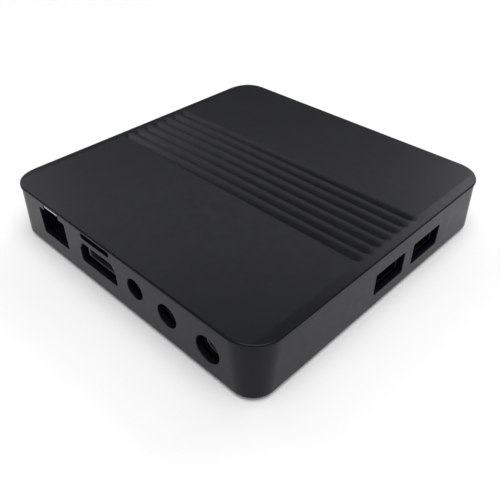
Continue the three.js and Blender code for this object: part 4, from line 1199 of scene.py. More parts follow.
    def openings(self) -> list[Draft]:
        """Draws everything that is cut from the moulding."""
        made = [self.opening(wall, outline, edge) for wall, outline, edge in self.socket_outlines()]
        window = middle_of("window")
        outline = rectangle((window.x, window.z), self.window_opening, self.window_corner)
        made.append(self.opening(Wall.ROOM, outline, 0.15 * MM))
        for i in range(self.vent_count):
            x = self.vent_middle[0] + (i - (self.vent_count - 1) / 2) * self.vent_pitch
            slot = rectangle((x, self.vent_middle[1]), self.vent_size, self.vent_size[0] * 0.475)
            made.append(self.opening(Wall.UNDER, slot, 0.3 * MM))
        reset = middle_of("reset_plunger")
        made.append(self.opening(Wall.UNDER, circle((reset.x, reset.y), self.pin_hole, 32), 0.3 * MM))
        for node in FEET:
            low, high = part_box(node)
            radius = (high.x - low.x) / 2 + 0.2 * MM
            place = middle_of(node)
            made.append(self.opening(Wall.UNDER, circle((place.x, place.y), radius), 0.15 * MM, self.recess))
        top = FLOOR_LOW + self.wall + self.post_height
        for node in CASE_SCREWS:
            place = middle_of(node)
            low, seat = FLOOR_LOW - 1 * MM, top - self.seat
            bore = self.counterbore
            profile = [(0, low), (bore + 0.2 * MM, low), (bore + 0.2 * MM, FLOOR_LOW),
                       (bore, FLOOR_LOW + 0.2 * MM)]
            profile += [(bore, seat), (self.screw_hole, seat), (self.screw_hole, top + 1 * MM),
                        (0, top + 1 * MM)]
            made.append(turned(profile).moved((place.x, place.y, 0)))
        return made


def trapezium(middle: Point2, size: Point2, slant: Point2, radius: float, steps: int = 6) -> list[Point2]:
    """Draws the outline of the video socket: a rectangle whose upper corners are cut off.

    Args:
        middle: Its middle.
        size: Its width and height.
        slant: How far the cut takes off each upper corner, across and down.
        radius: Radius of the corners.
        steps: Steps of each rounding.

    Returns:
        The outline's points, counter-clockwise.
    """
    (x, z), (half, up) = middle, (size[0] / 2, size[1] / 2)
    corners = [(x - half, z - up), (x + half, z - up), (x + half, z + up - slant[1]),
               (x + half - slant[0], z + up),
               (x - half + slant[0], z + up), (x - half, z + up - slant[1])]
    return rounded(corners, radius, steps)


# ---------------------------------------------------------------------------------------------
# Feet and screws
# ---------------------------------------------------------------------------------------------


@dataclass(frozen=True)
class Foot:
    """A rubber foot, slightly domed, with a moulded ring in its sole."""

    node: str
    edge: float = 0.35 * MM
    ring: float = 3.6 * MM
    ring_width: float = 0.5 * MM
    ring_depth: float = 0.12 * MM

    def build(self) -> None:
        """Turns the foot and puts it in its recess."""
        low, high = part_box(self.node)
        radius, place = (high.x - low.x) / 2, middle_of(self.node)
        profile: list[Point2] = [(0, 0.0), (self.ring - self.ring_width, 0.0)]
        profile += [(self.ring - self.ring_width / 3, self.ring_depth),
                    (self.ring + self.ring_width / 3, self.ring_depth)]
        profile += [(self.ring + self.ring_width, 0.0), (radius - self.edge, 0.0)]
        profile += [(radius - offset, depth) for depth, offset in quarter(self.edge)[1:]]
        profile += [(radius, high.z - 0.1 * MM), (radius - 0.1 * MM, high.z), (0, high.z)]
        add_piece("rubber_" + self.node, turned(profile, 72).moved((place.x, place.y, 0)), RUBBER, self.node)


@dataclass(frozen=True)
class Screw:
    """A pan-head screw that stands head down, with a cross recess and a rolled thread."""

    node: str
    head: Point2
    shank: float
    thread: float
    pitch: float

    def build(self) -> None:
        """Turns head and thread, and cuts the recess."""
        low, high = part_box(self.node)
        place = middle_of(self.node)
        radius, height = self.head
        dome = [(0.0, 0.0), (radius * 0.55, 0.02 * MM), (radius * 0.8, 0.1 * MM), (radius * 0.95, 0.3 * MM)]
        profile = dome + [(radius, height * 0.55), (radius, height - 0.08 * MM), (radius - 0.08 * MM, height)]
        turns = int((high.z - low.z - height) / self.pitch) - 1
        for i in range(turns):
            start = height + 0.2 * MM + i * self.pitch
            profile += [(self.shank, start), (self.shank, start + self.pitch * 0.45)]
            profile += [(self.thread, start + self.pitch * 0.68), (self.thread, start + self.pitch * 0.78)]
        end = high.z - low.z
        profile += [(self.shank, end - 0.5 * MM), (self.shank * 0.35, end - 0.04 * MM), (0, end)]
        recess = self.recess()
        mesh = combine(turned(profile, 40), cut=[recess])
        mesh.transform(Matrix.Translation((place.x, place.y, low.z)))
        add_piece("steel_" + self.node, mesh, SCREW_STEEL, self.node)

    def recess(self) -> Draft:
        """Draws the tapered cross that the screwdriver fits."""
        arm, width, depth = self.head[0] * 0.6, self.head[0] * 0.13, self.head[1] * 0.62
        corners = []
        for quarter_turn in range(4):
            turn = Matrix.Rotation(math.pi / 2 * quarter_turn, 2)
            corners += [tuple(turn @ Vector(p)) for p in ((width, -width), (arm, -width), (arm, width))]
        outline = rounded(corners, [0.0, 0.06 * MM, 0.06 * MM] * 4, 3)
        scaled = [(x * 0.5, y * 0.75) for x, y in outline]
        return loft([[Vector((x, y, -0.2 * MM)) for x, y in outline],
                     [Vector((x, y, 0.05 * MM)) for x, y in outline],
                     [Vector((x, y, depth)) for x, y in scaled]])


# ---------------------------------------------------------------------------------------------
# Sockets
# ---------------------------------------------------------------------------------------------


@dataclass(frozen=True)
class RoundSocket:
    """A round socket: a block with a collar in the wall's opening, a bore and sprung contacts."""

    node: str
    opening: float
    collar: float
    bore: float
    bore_depth: float
    drop: float
    collar_depth: float = 0.8 * MM
    pin: bool = False
    flange: float = 0.4 * MM
    flange_thickness: float = 0.3 * MM
    sleeve_start: float = 0.95 * MM

    @staticmethod
    def all() -> list["RoundSocket"]:
        """Returns the three round sockets, in their order along the wall."""
        return [
            RoundSocket("av_jack", 3.0 * MM, 2.8 * MM, 1.85 * MM, 10.5 * MM, 2.6 * MM),
            RoundSocket("audio_jack", 3.35 * MM, 3.15 * MM, 1.85 * MM, 11.0 * MM, 3.5 * MM),
            RoundSocket("power_jack", 3.85 * MM, 3.65 * MM, 3.0 * MM, 9.6 * MM, 4.3 * MM, pin=True),
        ]

    @property
    def x(self) -> float:
        """Place of the socket's axis along the wall."""
        return middle_of(self.node).x

    @property
    def z(self) -> float:
        """Height of the socket's axis."""
        return BOARD_LOW - self.drop

    def build(self) -> None:
        """Builds the block, and the contacts in its bore."""
        low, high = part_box(self.node)
        back = high.y
        floor = low.z if self.collar + self.z * 0 < self.z - low.z else self.z - self.collar + 0.3 * MM
        body_low = max(low.z, floor)
        body = block((low.x, FRONT_Y + self.collar_depth, body_low), (high.x, back, high.z), 0.2 * MM)
        collar_end = self.collar_depth + 0.05 * MM
        collar = [(0, 0), (self.collar - 0.2 * MM, 0), (self.collar, 0.2 * MM), (self.collar, collar_end),
                  (0, collar_end)]
        mouth = 0.35 * MM
        bore = [(0, -1 * MM), (self.bore + mouth, -1 * MM), (self.bore + mouth, 0), (self.bore, mouth)]
        bore += [(self.bore, self.bore_depth - 0.3 * MM), (self.bore - 0.3 * MM, self.bore_depth),
                 (0, self.bore_depth)]
        place, inwards = (self.x, FRONT_Y, self.z), (0, 1, 0)
        if self.pin:
            mouth_end = self.sleeve_start + self.flange_thickness
            wide = self.bore + self.flange
            bore = [(0, -1 * MM), (wide + 0.15 * MM, -1 * MM), (wide + 0.15 * MM, 0), (wide, 0.15 * MM),
                    (wide, mouth_end), (self.bore, mouth_end), *bore[4:]]
            pin_radius = (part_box("power_pin")[1].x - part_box("power_pin")[0].x) / 2 + 0.1 * MM
            bore = bore[:-1] + [(pin_radius, self.bore_depth), (pin_radius, back - FRONT_Y + 1 * MM),
                                (0, back - FRONT_Y + 1 * MM)]
        mesh = combine(body, [lying(turned(collar), place, inwards)], [lying(turned(bore), place, inwards)])
        add_piece("moulded_" + self.node, mesh, INSULATOR, self.node)
        add_piece(self.node + "_springs", self.springs(), SPRING_STEEL)
        if self.pin:
            sleeve, rim = self.sleeve()
            # The tube takes the darkened plate as painted shade in the bore, and the rim round its flange
            # takes bright tin plate as a painted highlight arc at the mouth.
            add_piece(self.node + "_sleeve", sleeve, SHADED_SLEEVE_PLATE)
            add_piece(self.node + "_sleeve_highlight_rim", rim, TIN)

    def sleeve(self) -> tuple[Draft, Draft]:
        """Draws the flanged metal tube that lines the bore, and the rim round its flange, which is dressed
        bright as a painted highlight.
        """
        outer, inner, start = self.bore - 0.02 * MM, self.bore - 0.26 * MM, self.sleeve_start
        wide, end = self.bore + self.flange - 0.02 * MM, self.bore_depth * 0.6
        rim = 0.15 * MM
        back = start + self.flange_thickness - 0.02 * MM
        tube_ring = [(inner, start + 0.1 * MM), (inner + 0.1 * MM, start), (wide - rim, start),
                     (wide - rim, back),
                     (outer, back), (outer, end), (inner, end)]
        rim_ring = [(wide - rim + 0.005 * MM, start - 0.02 * MM), (wide - 0.06 * MM, start - 0.06 * MM),
                    (wide, start), (wide, back), (wide - rim + 0.005 * MM, back)]
        place = (self.x, FRONT_Y, self.z)
        return lying(spun(tube_ring), place, (0, 1, 0)), lying(spun(rim_ring), place, (0, 1, 0))

    def springs(self) -> Draft:
        """Draws the leaf springs that press on the plug, bowed into the bore from its sides."""
        made = []
        for side in (-1, 1):
            path = []
            for i in range(9):
                share = i / 8
                bow = math.sin(math.pi * share)
                path.append((self.bore * 0.93 - self.bore * 0.22 * bow,
                             self.bore_depth * (0.35 + 0.5 * share)))
            outline = ribbon(path, 0.14 * MM)
            leaf = prism(outline, Axis.Z, -0.5 * MM, 0.5 * MM)
            leaf = leaf.changed(Matrix.Scale(side, 4, (1, 0, 0)))
            made.append(leaf.moved((self.x, FRONT_Y, self.z)))
        return merged(made)


@dataclass(frozen=True)
class PowerPin:
    """The centre pin of the power socket, with a domed end."""


    def build(self) -> None:
        """Turns the pin and lays it in its bore."""
        low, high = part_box("power_pin")
        radius, length = (high.x - low.x) / 2, high.y - low.y
        dome = [(radius * math.sin(a),
                 radius * 0.6 * (1 - math.cos(a))) for a in (math.pi / 2 * i / 6 for i in range(7))]
        profile = dome + [(radius, length * 0.7), (radius * 0.92, length * 0.72),
                          (radius * 0.92, length - 0.1 * MM)]
        profile += [(radius * 0.92 - 0.1 * MM, length), (0, length)]
        place = middle_of("power_pin")
        pin = lying(turned(profile, 40), (place.x, low.y, place.z), (0, 1, 0))
        add_piece("plated_power_pin", pin, TIN, "power_pin")


@dataclass(frozen=True)
class VideoSocket:
    """The video socket: a folded shell with spring windows, and a tongue with two rows of contacts."""

    size: Point2 = (15.0 * MM, 5.6 * MM)
    slant: Point2 = (1.5 * MM, 2.4 * MM)
    sheet: float = 0.4 * MM
    upper_contacts: int = 10
    lower_contacts: int = 9
    pitch: float = 1.0 * MM
    contact: float = 0.45 * MM
    tongue_height: float = 1.3 * MM

    def build(self) -> None:
        """Builds shell, tongue and contacts."""
        low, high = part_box("hdmi_shell")
        middle = middle_of("hdmi_tongue")
        place = (middle.x, middle.z)
        self.build_shell(place, low, high)
        self.build_tongue(place)

    def build_shell(self, place: Point2, low: Vector, high: Vector) -> None:
        """Folds the shell, with its legs up to the board and a window for each spring."""
        outline = trapezium(place, self.size, self.slant, 0.6 * MM)
        inside = grown(outline, -self.sheet)
        lead = 0.18 * MM
        hollow = stacked(inside, Axis.Y,
                         [(low.y - 1 * MM, lead), (low.y, lead), (low.y + lead, 0), (high.y + 1 * MM, 0)])
        legs = []
        for side in (-1, 1):
            for share in (0.25, 0.75):
                across = place[0] + side * (self.size[0] / 2 - self.slant[0] - 1.0 * MM)
                along = low.y + share * (high.y - low.y)
                start = place[1] + self.size[1] / 2 - self.sheet / 2
                leg = rounded([(-1.1 * MM, 0), (1.1 * MM, 0), (0.8 * MM, high.z - start),
                               (-0.8 * MM, high.z - start)], 0.15 * MM, 3)
                turned_leg = prism(leg, Axis.X, -0.5 * MM, 0.5 * MM)
                legs.append(turned_leg.moved((across, along, start)))
        windows = []
        for side in (-1, 1):
            outer = rectangle((place[0] + side * 3.2 * MM, low.y + 3.4 * MM), (2.2 * MM, 4.4 * MM), 0.3 * MM,
                              3)
            windows.append(prism(outer, Axis.Z, place[1] - self.size[1] / 2 - 1 * MM,
                                 place[1] - self.size[1] / 2 + 1 * MM))
        shell = combine(stacked(outline, Axis.Y, [(low.y, -0.08 * MM), (low.y + 0.08 * MM, 0), (high.y, 0)]),
                        legs, [hollow] + windows)
        add_piece("folded_hdmi_shell", shell, SATIN_NICKEL, "hdmi_shell")
        leaves = []
        for side in (-1, 1):
            path = [(low.y + 1.3 * MM + 4.2 * MM * i / 8,
                     place[1] - self.size[1] / 2 + 0.2 * MM + 0.45 * MM * math.sin(math.pi * (i / 8) ** 1.4))
                    for i in range(9)]
            leaf = prism(ribbon(path, 0.2 * MM), Axis.X, -0.7 * MM, 0.7 * MM)
            leaves.append(leaf.moved((place[0] + side * 3.2 * MM, 0, 0)))
        add_piece("hdmi_shell_springs", merged(leaves), DARK_NICKEL)

    def build_tongue(self, place: Point2) -> None:
        """Moulds the tongue with a groove for each contact, and lays the contacts in."""
        low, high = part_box("hdmi_tongue")
        gap = 0.45 * MM
        back = high.y - 3.1 * MM
        base = trapezium(place, (self.size[0] - 2 * gap, self.size[1] - 2 * gap), self.slant, 0.3 * MM)
        tongue_half = 5.9 * MM
        height = self.tongue_height / 2
        blade = rounded([(low.y, place[1] - height), (back + 1 * MM, place[1] - height),
                         (back + 1 * MM, place[1] + height),
                         (low.y, place[1] + height)], [0.35 * MM, 0, 0, 0.35 * MM], 4)
        blade_body = prism(blade, Axis.X, place[0] - tongue_half, place[0] + tongue_half)
        grooves, contacts = [], []
        for side, count in ((1, self.upper_contacts), (-1, self.lower_contacts)):
            face = place[1] + side * height
            for i in range(count):
                x = place[0] + (i - (count - 1) / 2) * self.pitch
                grooves.append(block((x - self.contact / 2, low.y + 0.3 * MM, face - 0.08 * MM),
                                     (x + self.contact / 2, back - 0.2 * MM, face + 0.08 * MM)))
                top = sorted((face - side * 0.075 * MM, face))
                contacts.append(block((x - self.contact / 2 + 0.02 * MM, low.y + 0.34 * MM, top[0]),
                                      (x + self.contact / 2 - 0.02 * MM, back - 0.24 * MM,
                                       top[1] + 0.01 * MM)))
        mesh = combine(prism(base, Axis.Y, back, high.y), [blade_body], grooves)
        add_piece("moulded_hdmi_tongue", mesh, INSULATOR, "hdmi_tongue")
        add_piece("hdmi_contacts", merged(contacts), GOLD)


@dataclass(frozen=True)
class UsbSocket:
    """A USB socket that faces +X and hangs upside down below the board."""

    number: int
    size: Point2 = (13.1 * MM, 5.8 * MM)
    sheet: float = 0.3 * MM
    tongue: Point2 = (11.1 * MM, 1.84 * MM)
    tongue_drop: float = 1.0 * MM
    contacts: int = 4
    pitch: float = 2.3 * MM

    def build(self) -> None:
        """Builds shell, springs, tongue and contacts."""
        name = f"usb_{self.number}"
        low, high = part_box(name + "_shell")
        middle = middle_of(name + "_tongue")
        place = (middle.y, middle.z)
        self.build_shell(name, place, low, high)
        self.build_tongue(name, place)

    def build_shell(self, name: str, place: Point2, low: Vector, high: Vector) -> None:
        """Folds the shell with its legs, its flared mouth and the windows of its springs."""
        outline = rectangle(place, self.size, 0.4 * MM, 4)
        inside = grown(outline, -self.sheet)
        mouth = 0.14 * MM
        hollow = stacked(inside, Axis.X,
                         [(low.x - 1 * MM, 0), (high.x - mouth, 0), (high.x, mouth),
                          (high.x + 1 * MM, mouth)])
        outer = stacked(outline, Axis.X, [(low.x, 0), (high.x - 0.07 * MM, 0), (high.x, -0.07 * MM)])
        legs = []
        for side in (-1, 1):
            for share in (0.25, 0.75):
                y = place[0] + side * (self.size[0] - self.sheet) / 2
                x = high.x - share * (high.x - low.x)
                start = place[1] + self.size[1] / 4
                end = high.z - start
                leg = rounded([(-1.1 * MM, 0), (1.1 * MM, 0), (1.1 * MM, end - 1 * MM), (0.7 * MM, end),
                               (-0.7 * MM, end),
                               (-1.1 * MM, end - 1 * MM)], 0.12 * MM, 3)
                drawn = loft([[Vector((a, y_level, b)) for a, b in leg] for y_level in (-self.sheet / 2,
                                                                                        self.sheet / 2)])
                legs.append(drawn.moved((x, y, start)))
        windows, leaves = [], []
        for side in (-1, 1):
            for across in (-1, 1):
                y = place[0] + across * 3.0 * MM
                z = place[1] + side * self.size[1] / 2
                window = rectangle((high.x - 4.2 * MM, y), (5.0 * MM, 2.0 * MM), 0.3 * MM, 3)
                windows.append(prism(window, Axis.Z, z - 0.6 * MM, z + 0.6 * MM))
                path = [(high.x - 6.6 * MM + 4.6 * MM * i / 8,
                         z - side * (self.sheet / 2 + 0.5 * MM * math.sin(math.pi * (i / 8) ** 0.8) * (i > 0)))
                        for i in range(9)]
                strip = ribbon(path, 0.18 * MM)
                leaf = loft([[Vector((a, y + level, b)) for a, b in strip] for level in (-0.65 * MM,
                                                                                         0.65 * MM)])
                leaves.append(leaf)
        shell = combine(outer, legs, [hollow] + windows)
        add_piece(f"folded_{name}_shell", shell, DARK_NICKEL, name + "_shell")
        add_piece(f"{name}_shell_springs", merged(leaves), DARK_NICKEL)

    def build_tongue(self, name: str, place: Point2) -> None:
        """Moulds the tongue and its base, and lays the contacts on the tongue's upper face."""
        low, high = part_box(name + "_tongue")
        back = low.x + 3.55 * MM
        half = self.tongue[0] / 2
        z = place[1] - self.tongue_drop
        up = self.tongue[1] / 2
        blade = rounded([(high.x, z - up), (high.x, z + up), (back - 1 * MM, z + up),
                         (back - 1 * MM, z - up)],
                        [0.4 * MM, 0.4 * MM, 0, 0], 4)
        body = loft([[Vector((a, y, b)) for a, b in blade] for y in (place[0] - half, place[0] + half)])
        base = block((low.x, place[0] - 6.15 * MM, low.z), (back, place[0] + 6.15 * MM, high.z), 0.1 * MM)
        grooves, contacts = [], []
        for i in range(self.contacts):
            y = place[0] + (i - (self.contacts - 1) / 2) * self.pitch
            face = z + up
            grooves.append(block((back + 0.3 * MM, y - 0.5 * MM, face - 0.12 * MM),
                                 (high.x - 0.5 * MM, y + 0.5 * MM, face + 0.2 * MM)))
            contacts.append(block((back + 0.35 * MM, y - 0.45 * MM, face - 0.115 * MM),
                                  (high.x - 0.55 * MM, y + 0.45 * MM, face + 0.03 * MM), 0.03 * MM))
        mesh = combine(body, [base], grooves)
        add_piece(f"moulded_{name}_tongue", mesh, INSULATOR, name + "_tongue")
        add_piece(f"{name}_contacts", merged(contacts), GOLD)


# ---------------------------------------------------------------------------------------------
# Network and card sockets
# ---------------------------------------------------------------------------------------------


@dataclass(frozen=True)
class NetworkSocket:
    """The network socket: housing, contacts and a shield whose lip shows in the latch's slot."""

    lip_width: float = 6.3 * MM
    lip_reach: float = 1.75 * MM
    sheet: float = 0.22 * MM
    tab: Point2 = (0.9 * MM, 0.95 * MM)

    def build(self) -> None:
        """Dresses the frame's parts and bends the shield's lip."""
        dress("network_housing", INSULATOR, 0.15 * MM)
        dress("network_shield", TIN, 0.05 * MM)
        dress("network_contacts", GOLD, 0.03 * MM)
        add_piece("network_shield_lip", self.lip(), TIN, bevel=0.04 * MM)

    def lip(self) -> Draft:
        """Draws the strip that runs forward from the shield's top, with a tab bent down from it."""
        low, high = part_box("network_shield")
        x, top, front = middle_of("network_housing").x, high.z, low.y
        half, reach = self.lip_width / 2, front - self.lip_reach
        strip = block((x - half, reach, top - self.sheet), (x + half, front + 0.3 * MM, top))
        hem = block((x - half, reach - self.sheet, top - 2 * self.sheet), (x + half, reach - 0.01 * MM, top))
        path = [(front - 0.35 * MM, top - self.sheet / 2), (front - 0.6 * MM, top - 0.25 * MM),
                (front - 0.66 * MM, top - 0.5 * MM), (front - 0.66 * MM, top - self.tab[1])]
        bent = prism(ribbon(path, self.sheet), Axis.X, x + half - 0.3 * MM - self.tab[0], x + half - 0.3 * MM)
        return strip.joined([hem, bent])


@dataclass(frozen=True)
class CardSocket:
    """The memory card's socket above the board, with its slider and spring."""

    contact_count: int = 8
    pitch: float = 1.1 * MM
    contact_width: float = 0.5 * MM
    travel: float = 1.2 * MM
    wire: float = 0.08 * MM
    turns: int = 8
    turn_steps: int = 24

    def build(self) -> None:
        """Dresses the frame's parts and adds the slider's spring and the contact springs."""
        dress("card_base", INSULATOR, 0.08 * MM)
        dress("card_cover", TIN, 0.05 * MM)
        dress("card_slider", SLIDER_PLASTIC, 0.08 * MM)
        add_piece("card_contacts", self.contacts(), GOLD)
        low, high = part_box("card_spring")
        spring = add_piece("card_slot_spring", self.spring(low, high), SPRING_STEEL, "card_spring", crease=60)
        (low.x + high.x) / 2
        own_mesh(spring)

    def spring(self, low: Vector, high: Vector) -> Draft:
        """Winds the slider's spring along Y, with a closed turn at each end.

        Args:
            low: the lowest corner of the space that it fills.
            high: the highest corner of that space.

        Returns:
            The wire.
        """
        middle = (low + high) / 2
        across = (high.z - low.z) / 2 - self.wire
        steps = self.turns * self.turn_steps
        path = []
        for i in range(steps + 1):
            turn, share = i / self.turn_steps, max(0.0,
                                                   min(1.0, (i / self.turn_steps - 1) / (self.turns - 2)))
            closed = (min(turn, 1.0) + max(turn - self.turns + 1, 0.0) - 1) * self.wire * 2
            y = low.y + 3 * self.wire + (high.y - low.y - 6 * self.wire) * share + closed
            angle = 2 * math.pi * turn
            path.append(Vector((middle.x + across * math.cos(angle), y, middle.z + across * math.sin(angle))))
        return tube(path, self.wire, 10)

    def contacts(self) -> Draft:
        """Draws the springs that rise from the base's floor towards the card."""
        low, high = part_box("card_base")
        x, back = middle_of("card_cover").x - 0.4 * MM, high.y - 1.6 * MM
        floor = low.z + 0.4 * MM
        path = [(back - 6.2 * MM, floor + 0.42 * MM), (back - 5.7 * MM, floor + 0.5 * MM),
                (back - 5.2 * MM, floor + 0.4 * MM), (back - 3.0 * MM, floor + 0.16 * MM),
                (back, floor + 0.1 * MM)]
        leaf = prism(ribbon(path, 0.12 * MM), Axis.X, -self.contact_width / 2, self.contact_width / 2)
        middle = (self.contact_count - 1) / 2
        leaves = [leaf.moved((x + (i - middle) * self.pitch, 0, 0)) for i in range(self.contact_count)]
        return merged(leaves)


@dataclass(frozen=True)
class ResetSwitch:
    """The switch under the board that a pin presses through the floor."""

    def build(self) -> None:
        """Dresses its metal frame and its plunger."""
        dress("reset_body", TIN, 0.1 * MM)
        dress("reset_plunger", INSULATOR, 0.15 * MM, 40)


# ---------------------------------------------------------------------------------------------
# Room wall
# ---------------------------------------------------------------------------------------------


@dataclass(frozen=True)
class RoomWall:
    """What looks out of the +Y wall: the window, the infrared receiver and the light in its holder."""

    def build(self) -> None:
        """Dresses the window and what stands behind it."""
        dress("window", WINDOW_ACRYLIC, 0.25 * MM)
        dress("ir_receiver", WINDOW_ACRYLIC, 0.2 * MM, 40)
        dress("status_light", LENS, 0.1 * MM, 40)
        dress("light_holder", INSULATOR, 0.15 * MM)
        add_piece("receiver_and_light_legs", self.legs(), TIN)

    def legs(self) -> Draft:
        """Draws the legs by which receiver and light stand from the board."""
        made = []
        for node, count, pitch in (("ir_receiver", 3, 1.8 * MM), ("light_holder", 2, 2.0 * MM)):
            low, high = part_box(node)
            x, y = middle_of(node).x, low.y - 0.35 * MM
            for i in range(count):
                along = x + (i - (count - 1) / 2) * pitch
                path = [(low.y + 0.2 * MM, high.z - 1.6 * MM), (y, high.z - 1.6 * MM),
                        (y - 0.25 * MM, high.z - 1.35 * MM),
                        (y - 0.25 * MM, BOARD_LOW - 0.03 * MM)]
                made.append(prism(ribbon(path, 0.3 * MM), Axis.X, along - 0.2 * MM, along + 0.2 * MM))
        return merged(made)


# ---------------------------------------------------------------------------------------------
# Board and what stands on it
# ---------------------------------------------------------------------------------------------


@dataclass(frozen=True)
class Capacitor:
    """A can capacitor that hangs below the board: a crimped can on a plastic base."""

    node: str
    base: float = 0.9 * MM
    groove: float = 0.22 * MM
    score: Point2 = (0.22 * MM, 0.12 * MM)

    def build(self) -> None:
        """Turns the can, scores its end and moulds its base."""
        low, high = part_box(self.node)
        radius, height = (high.x - low.x) / 2, high.z - low.z
        can_radius = radius - 0.08 * MM
        place = Vector((middle_of(self.node).x, middle_of(self.node).y, low.z))
        end, crimp = height - self.base * 0.8, height - self.base - 0.9 * MM
        profile: list[Point2] = [(0, 0.06 * MM), (can_radius * 0.72, 0.06 * MM), (can_radius * 0.78, 0.0)]
        profile += [(can_radius - offset, depth) for depth, offset in quarter(0.35 * MM)]
        profile += [(can_radius, crimp - 0.35 * MM), (can_radius - self.groove, crimp - 0.12 * MM)]
        profile += [(can_radius - self.groove, crimp + 0.12 * MM), (can_radius, crimp + 0.35 * MM)]
        profile += [(can_radius, end), (0, end)]
        reach, (wide, deep) = can_radius * 0.7, self.score
        scores = [block((-reach, -wide / 2, -0.2 * MM), (reach, wide / 2, 0.06 * MM + deep))]
        scores.append(block((-wide / 2, -reach, -0.2 * MM), (wide / 2, reach, 0.06 * MM + deep)))
        mesh = combine(turned(profile, 56), cut=scores)
        mesh.transform(Matrix.Translation(place))
        add_piece("can_" + self.node, mesh, CAN, self.node)
        corners = [(-radius, -radius), (radius, -radius), (radius, radius), (-radius, radius)]
        outline = rounded(corners, [1.6 * MM, 0.2 * MM, 0.2 * MM, 1.6 * MM], 2)
        base = prism(outline, Axis.Z, height - self.base, height)
        cup = combine(base,
                      cut=[turned([(0, -1 * MM), (can_radius + 0.02 * MM, -1 * MM),
                                   (can_radius + 0.02 * MM, end + 0.02 * MM), (0, end + 0.02 * MM)], 56)])
        cup.transform(Matrix.Translation(place))
        add_piece(self.node + "_base", cup, INSULATOR, bevel=0.05 * MM)


@dataclass(frozen=True)
class Board:
    """The main board with its chips, coils and small parts, all on its lower side."""

    small_part: tuple[float, float, float] = (1.0 * MM, 0.5 * MM, 0.45 * MM)
    small_pitch: float = 1.9 * MM
    small_count: int = 9
    ends: float = 0.25 * MM
    clearance: float = 1.9 * MM

    def build(self) -> None:
        """Dresses board and parts, and adds the small parts beside the processor."""
        dress("main_board", LAMINATE, 0.06 * MM)
        for node in ("processor", "memory_chip_1", "memory_chip_2", "flash_chip", "power_chip",
                     "network_transformer"):
            dress(node, RESIN, 0.12 * MM)
        for node in ("inductor_1", "inductor_2"):
            dress(node, FERRITE, 0.3 * MM)
        dress("crystal", TIN, 0.2 * MM)
        for node in ("capacitor_1", "capacitor_2"):
            Capacitor(node).build()
        self.build_small_parts()
        self.build_leads()

    def build_small_parts(self) -> None:
        """Places two rows of small ceramic parts with tinned ends."""
        low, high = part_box("processor")
        length, width, height = self.small_part
        bodies, ends = [], []
        for row_y in (low.y - self.clearance, high.y + self.clearance):
            for i in range(self.small_count):
                x = middle_of("processor").x + (i - (self.small_count - 1) / 2) * self.small_pitch
                top = BOARD_LOW - 0.02 * MM
                for side in (-1, 1):
                    near, far = sorted((row_y + side * (length / 2 - self.ends), row_y + side * length / 2))
                    ends.append(block((x - width / 2, near, top - height), (x + width / 2, far, top),
                                      0.04 * MM))
                inner = length / 2 - self.ends - 0.005 * MM
                thin = 0.02 * MM
                bodies.append(block((x - width / 2 + thin, row_y - inner, top - height + thin),
                                    (x + width / 2 - thin, row_y + inner, top - thin)))
        add_piece("small_part_bodies", merged(bodies), CERAMIC)
        add_piece("small_part_ends", merged(ends), TIN)

    def build_leads(self) -> None:
        """Bends the leads of the network transformer from its sides to the board."""
        low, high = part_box("network_transformer")
        count, pitch = 9, 1.27 * MM
        leads = []
        for side, edge in ((-1, low.y), (1, high.y)):
            path = [(edge - side * 0.15 * MM, high.z - 1.4 * MM),
                    (edge + side * 0.35 * MM, high.z - 1.4 * MM),
                    (edge + side * 0.5 * MM, high.z - 1.15 * MM),
                    (edge + side * 0.55 * MM, high.z - 0.2 * MM),
                    (edge + side * 0.75 * MM, high.z - 0.06 * MM),
                    (edge + side * 1.1 * MM, high.z - 0.06 * MM)]
            for i in range(count):
                x = middle_of("network_transformer").x + (i - (count - 1) / 2) * pitch
                leads.append(prism(ribbon(path, 0.1 * MM), Axis.X, x - 0.2 * MM, x + 0.2 * MM))
        add_piece("transformer_leads", merged(leads), TIN)


@dataclass(frozen=True)
class Cooling:
    """The silicone pad and the finned plate that take the processor's heat."""

    pad_edge: float = 0.2 * MM

    def build(self) -> None:
        """Moulds the pad with bulging sides and dresses the plate."""
        low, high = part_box("thermal_pad")
        half = (high.z - low.z) / 2
        size = (high.x - low.x, high.y - low.y)
        outline = rectangle((middle_of("thermal_pad").x, middle_of("thermal_pad").y), size, 0.6 * MM)
        levels = [(low.z + half * (1 - math.cos(a)), -self.pad_edge * (1 - math.sin(a)))
                  for a in (math.pi * i / 8 for i in range(9))]
        add_piece("silicone_pad", stacked(outline, Axis.Z, levels), PAD, "thermal_pad", crease=50)
        dress("heat_sink", SINK, 0.12 * MM)


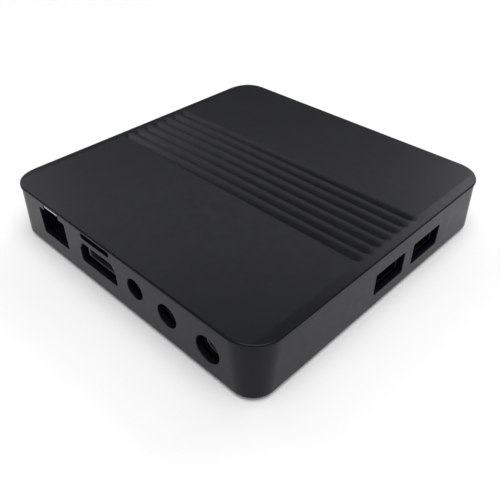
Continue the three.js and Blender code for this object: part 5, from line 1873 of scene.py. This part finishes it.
@dataclass(frozen=True)
class Wireless:
    """The wireless module, its lead and the foil antenna on the wall."""

    pads: int = 9
    pad_pitch: float = 1.2 * MM

    def build(self) -> None:
        """Dresses the frame's parts and adds the module's edge pads."""
        dress("wifi_board", LAMINATE, 0.05 * MM)
        dress("wifi_shield", TIN, 0.15 * MM)
        dress("lead_plug", GOLD, 0.1 * MM, 40)
        dress("antenna", FOIL, 0.03 * MM)
        dress("antenna_lead", JACKET, 0.02 * MM, 60)
        add_piece("wifi_edge_pads", self.edge_pads(), GOLD)

    def edge_pads(self) -> Draft:
        """Draws the plated half-holes along the module's two long edges."""
        low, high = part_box("wifi_board")
        made = []
        for edge in (low.y, high.y):
            for i in range(self.pads):
                x = middle_of("wifi_board").x + (i - (self.pads - 1) / 2) * self.pad_pitch
                inner = edge + math.copysign(0.55 * MM, middle_of("wifi_board").y - edge)
                near, far = sorted((edge, inner))
                made.append(block((x - 0.3 * MM, near - 0.02 * MM, low.z - 0.02 * MM),
                                  (x + 0.3 * MM, far + 0.02 * MM, low.z + 0.05 * MM)))
        return merged(made)


# ---------------------------------------------------------------------------------------------
# The player
# ---------------------------------------------------------------------------------------------


def main() -> None:
    """Builds the studio, then the player's sub-assemblies from the outside in."""
    logging.basicConfig(level=logging.INFO, format="%(name)s: %(message)s")
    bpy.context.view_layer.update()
    Studio().build()
    TopCover().build()
    LowerCase().build()
    for node in FEET:
        Foot(node).build()
    for node in CASE_SCREWS:
        Screw(node, (2.3 * MM, 1.4 * MM), 0.95 * MM, 1.22 * MM, 0.8 * MM).build()
    for node in BOARD_SCREWS:
        Screw(node, (2.0 * MM, 1.2 * MM), 0.75 * MM, 0.98 * MM, 0.6 * MM).build()
    for socket in RoundSocket.all():
        socket.build()
    PowerPin().build()
    VideoSocket().build()
    for number in (1, 2):
        UsbSocket(number).build()
    for part in (NetworkSocket(), CardSocket(), ResetSwitch(), RoomWall(), Board(), Cooling(), Wireless()):
        part.build()


if __name__ == "__main__":
    main()
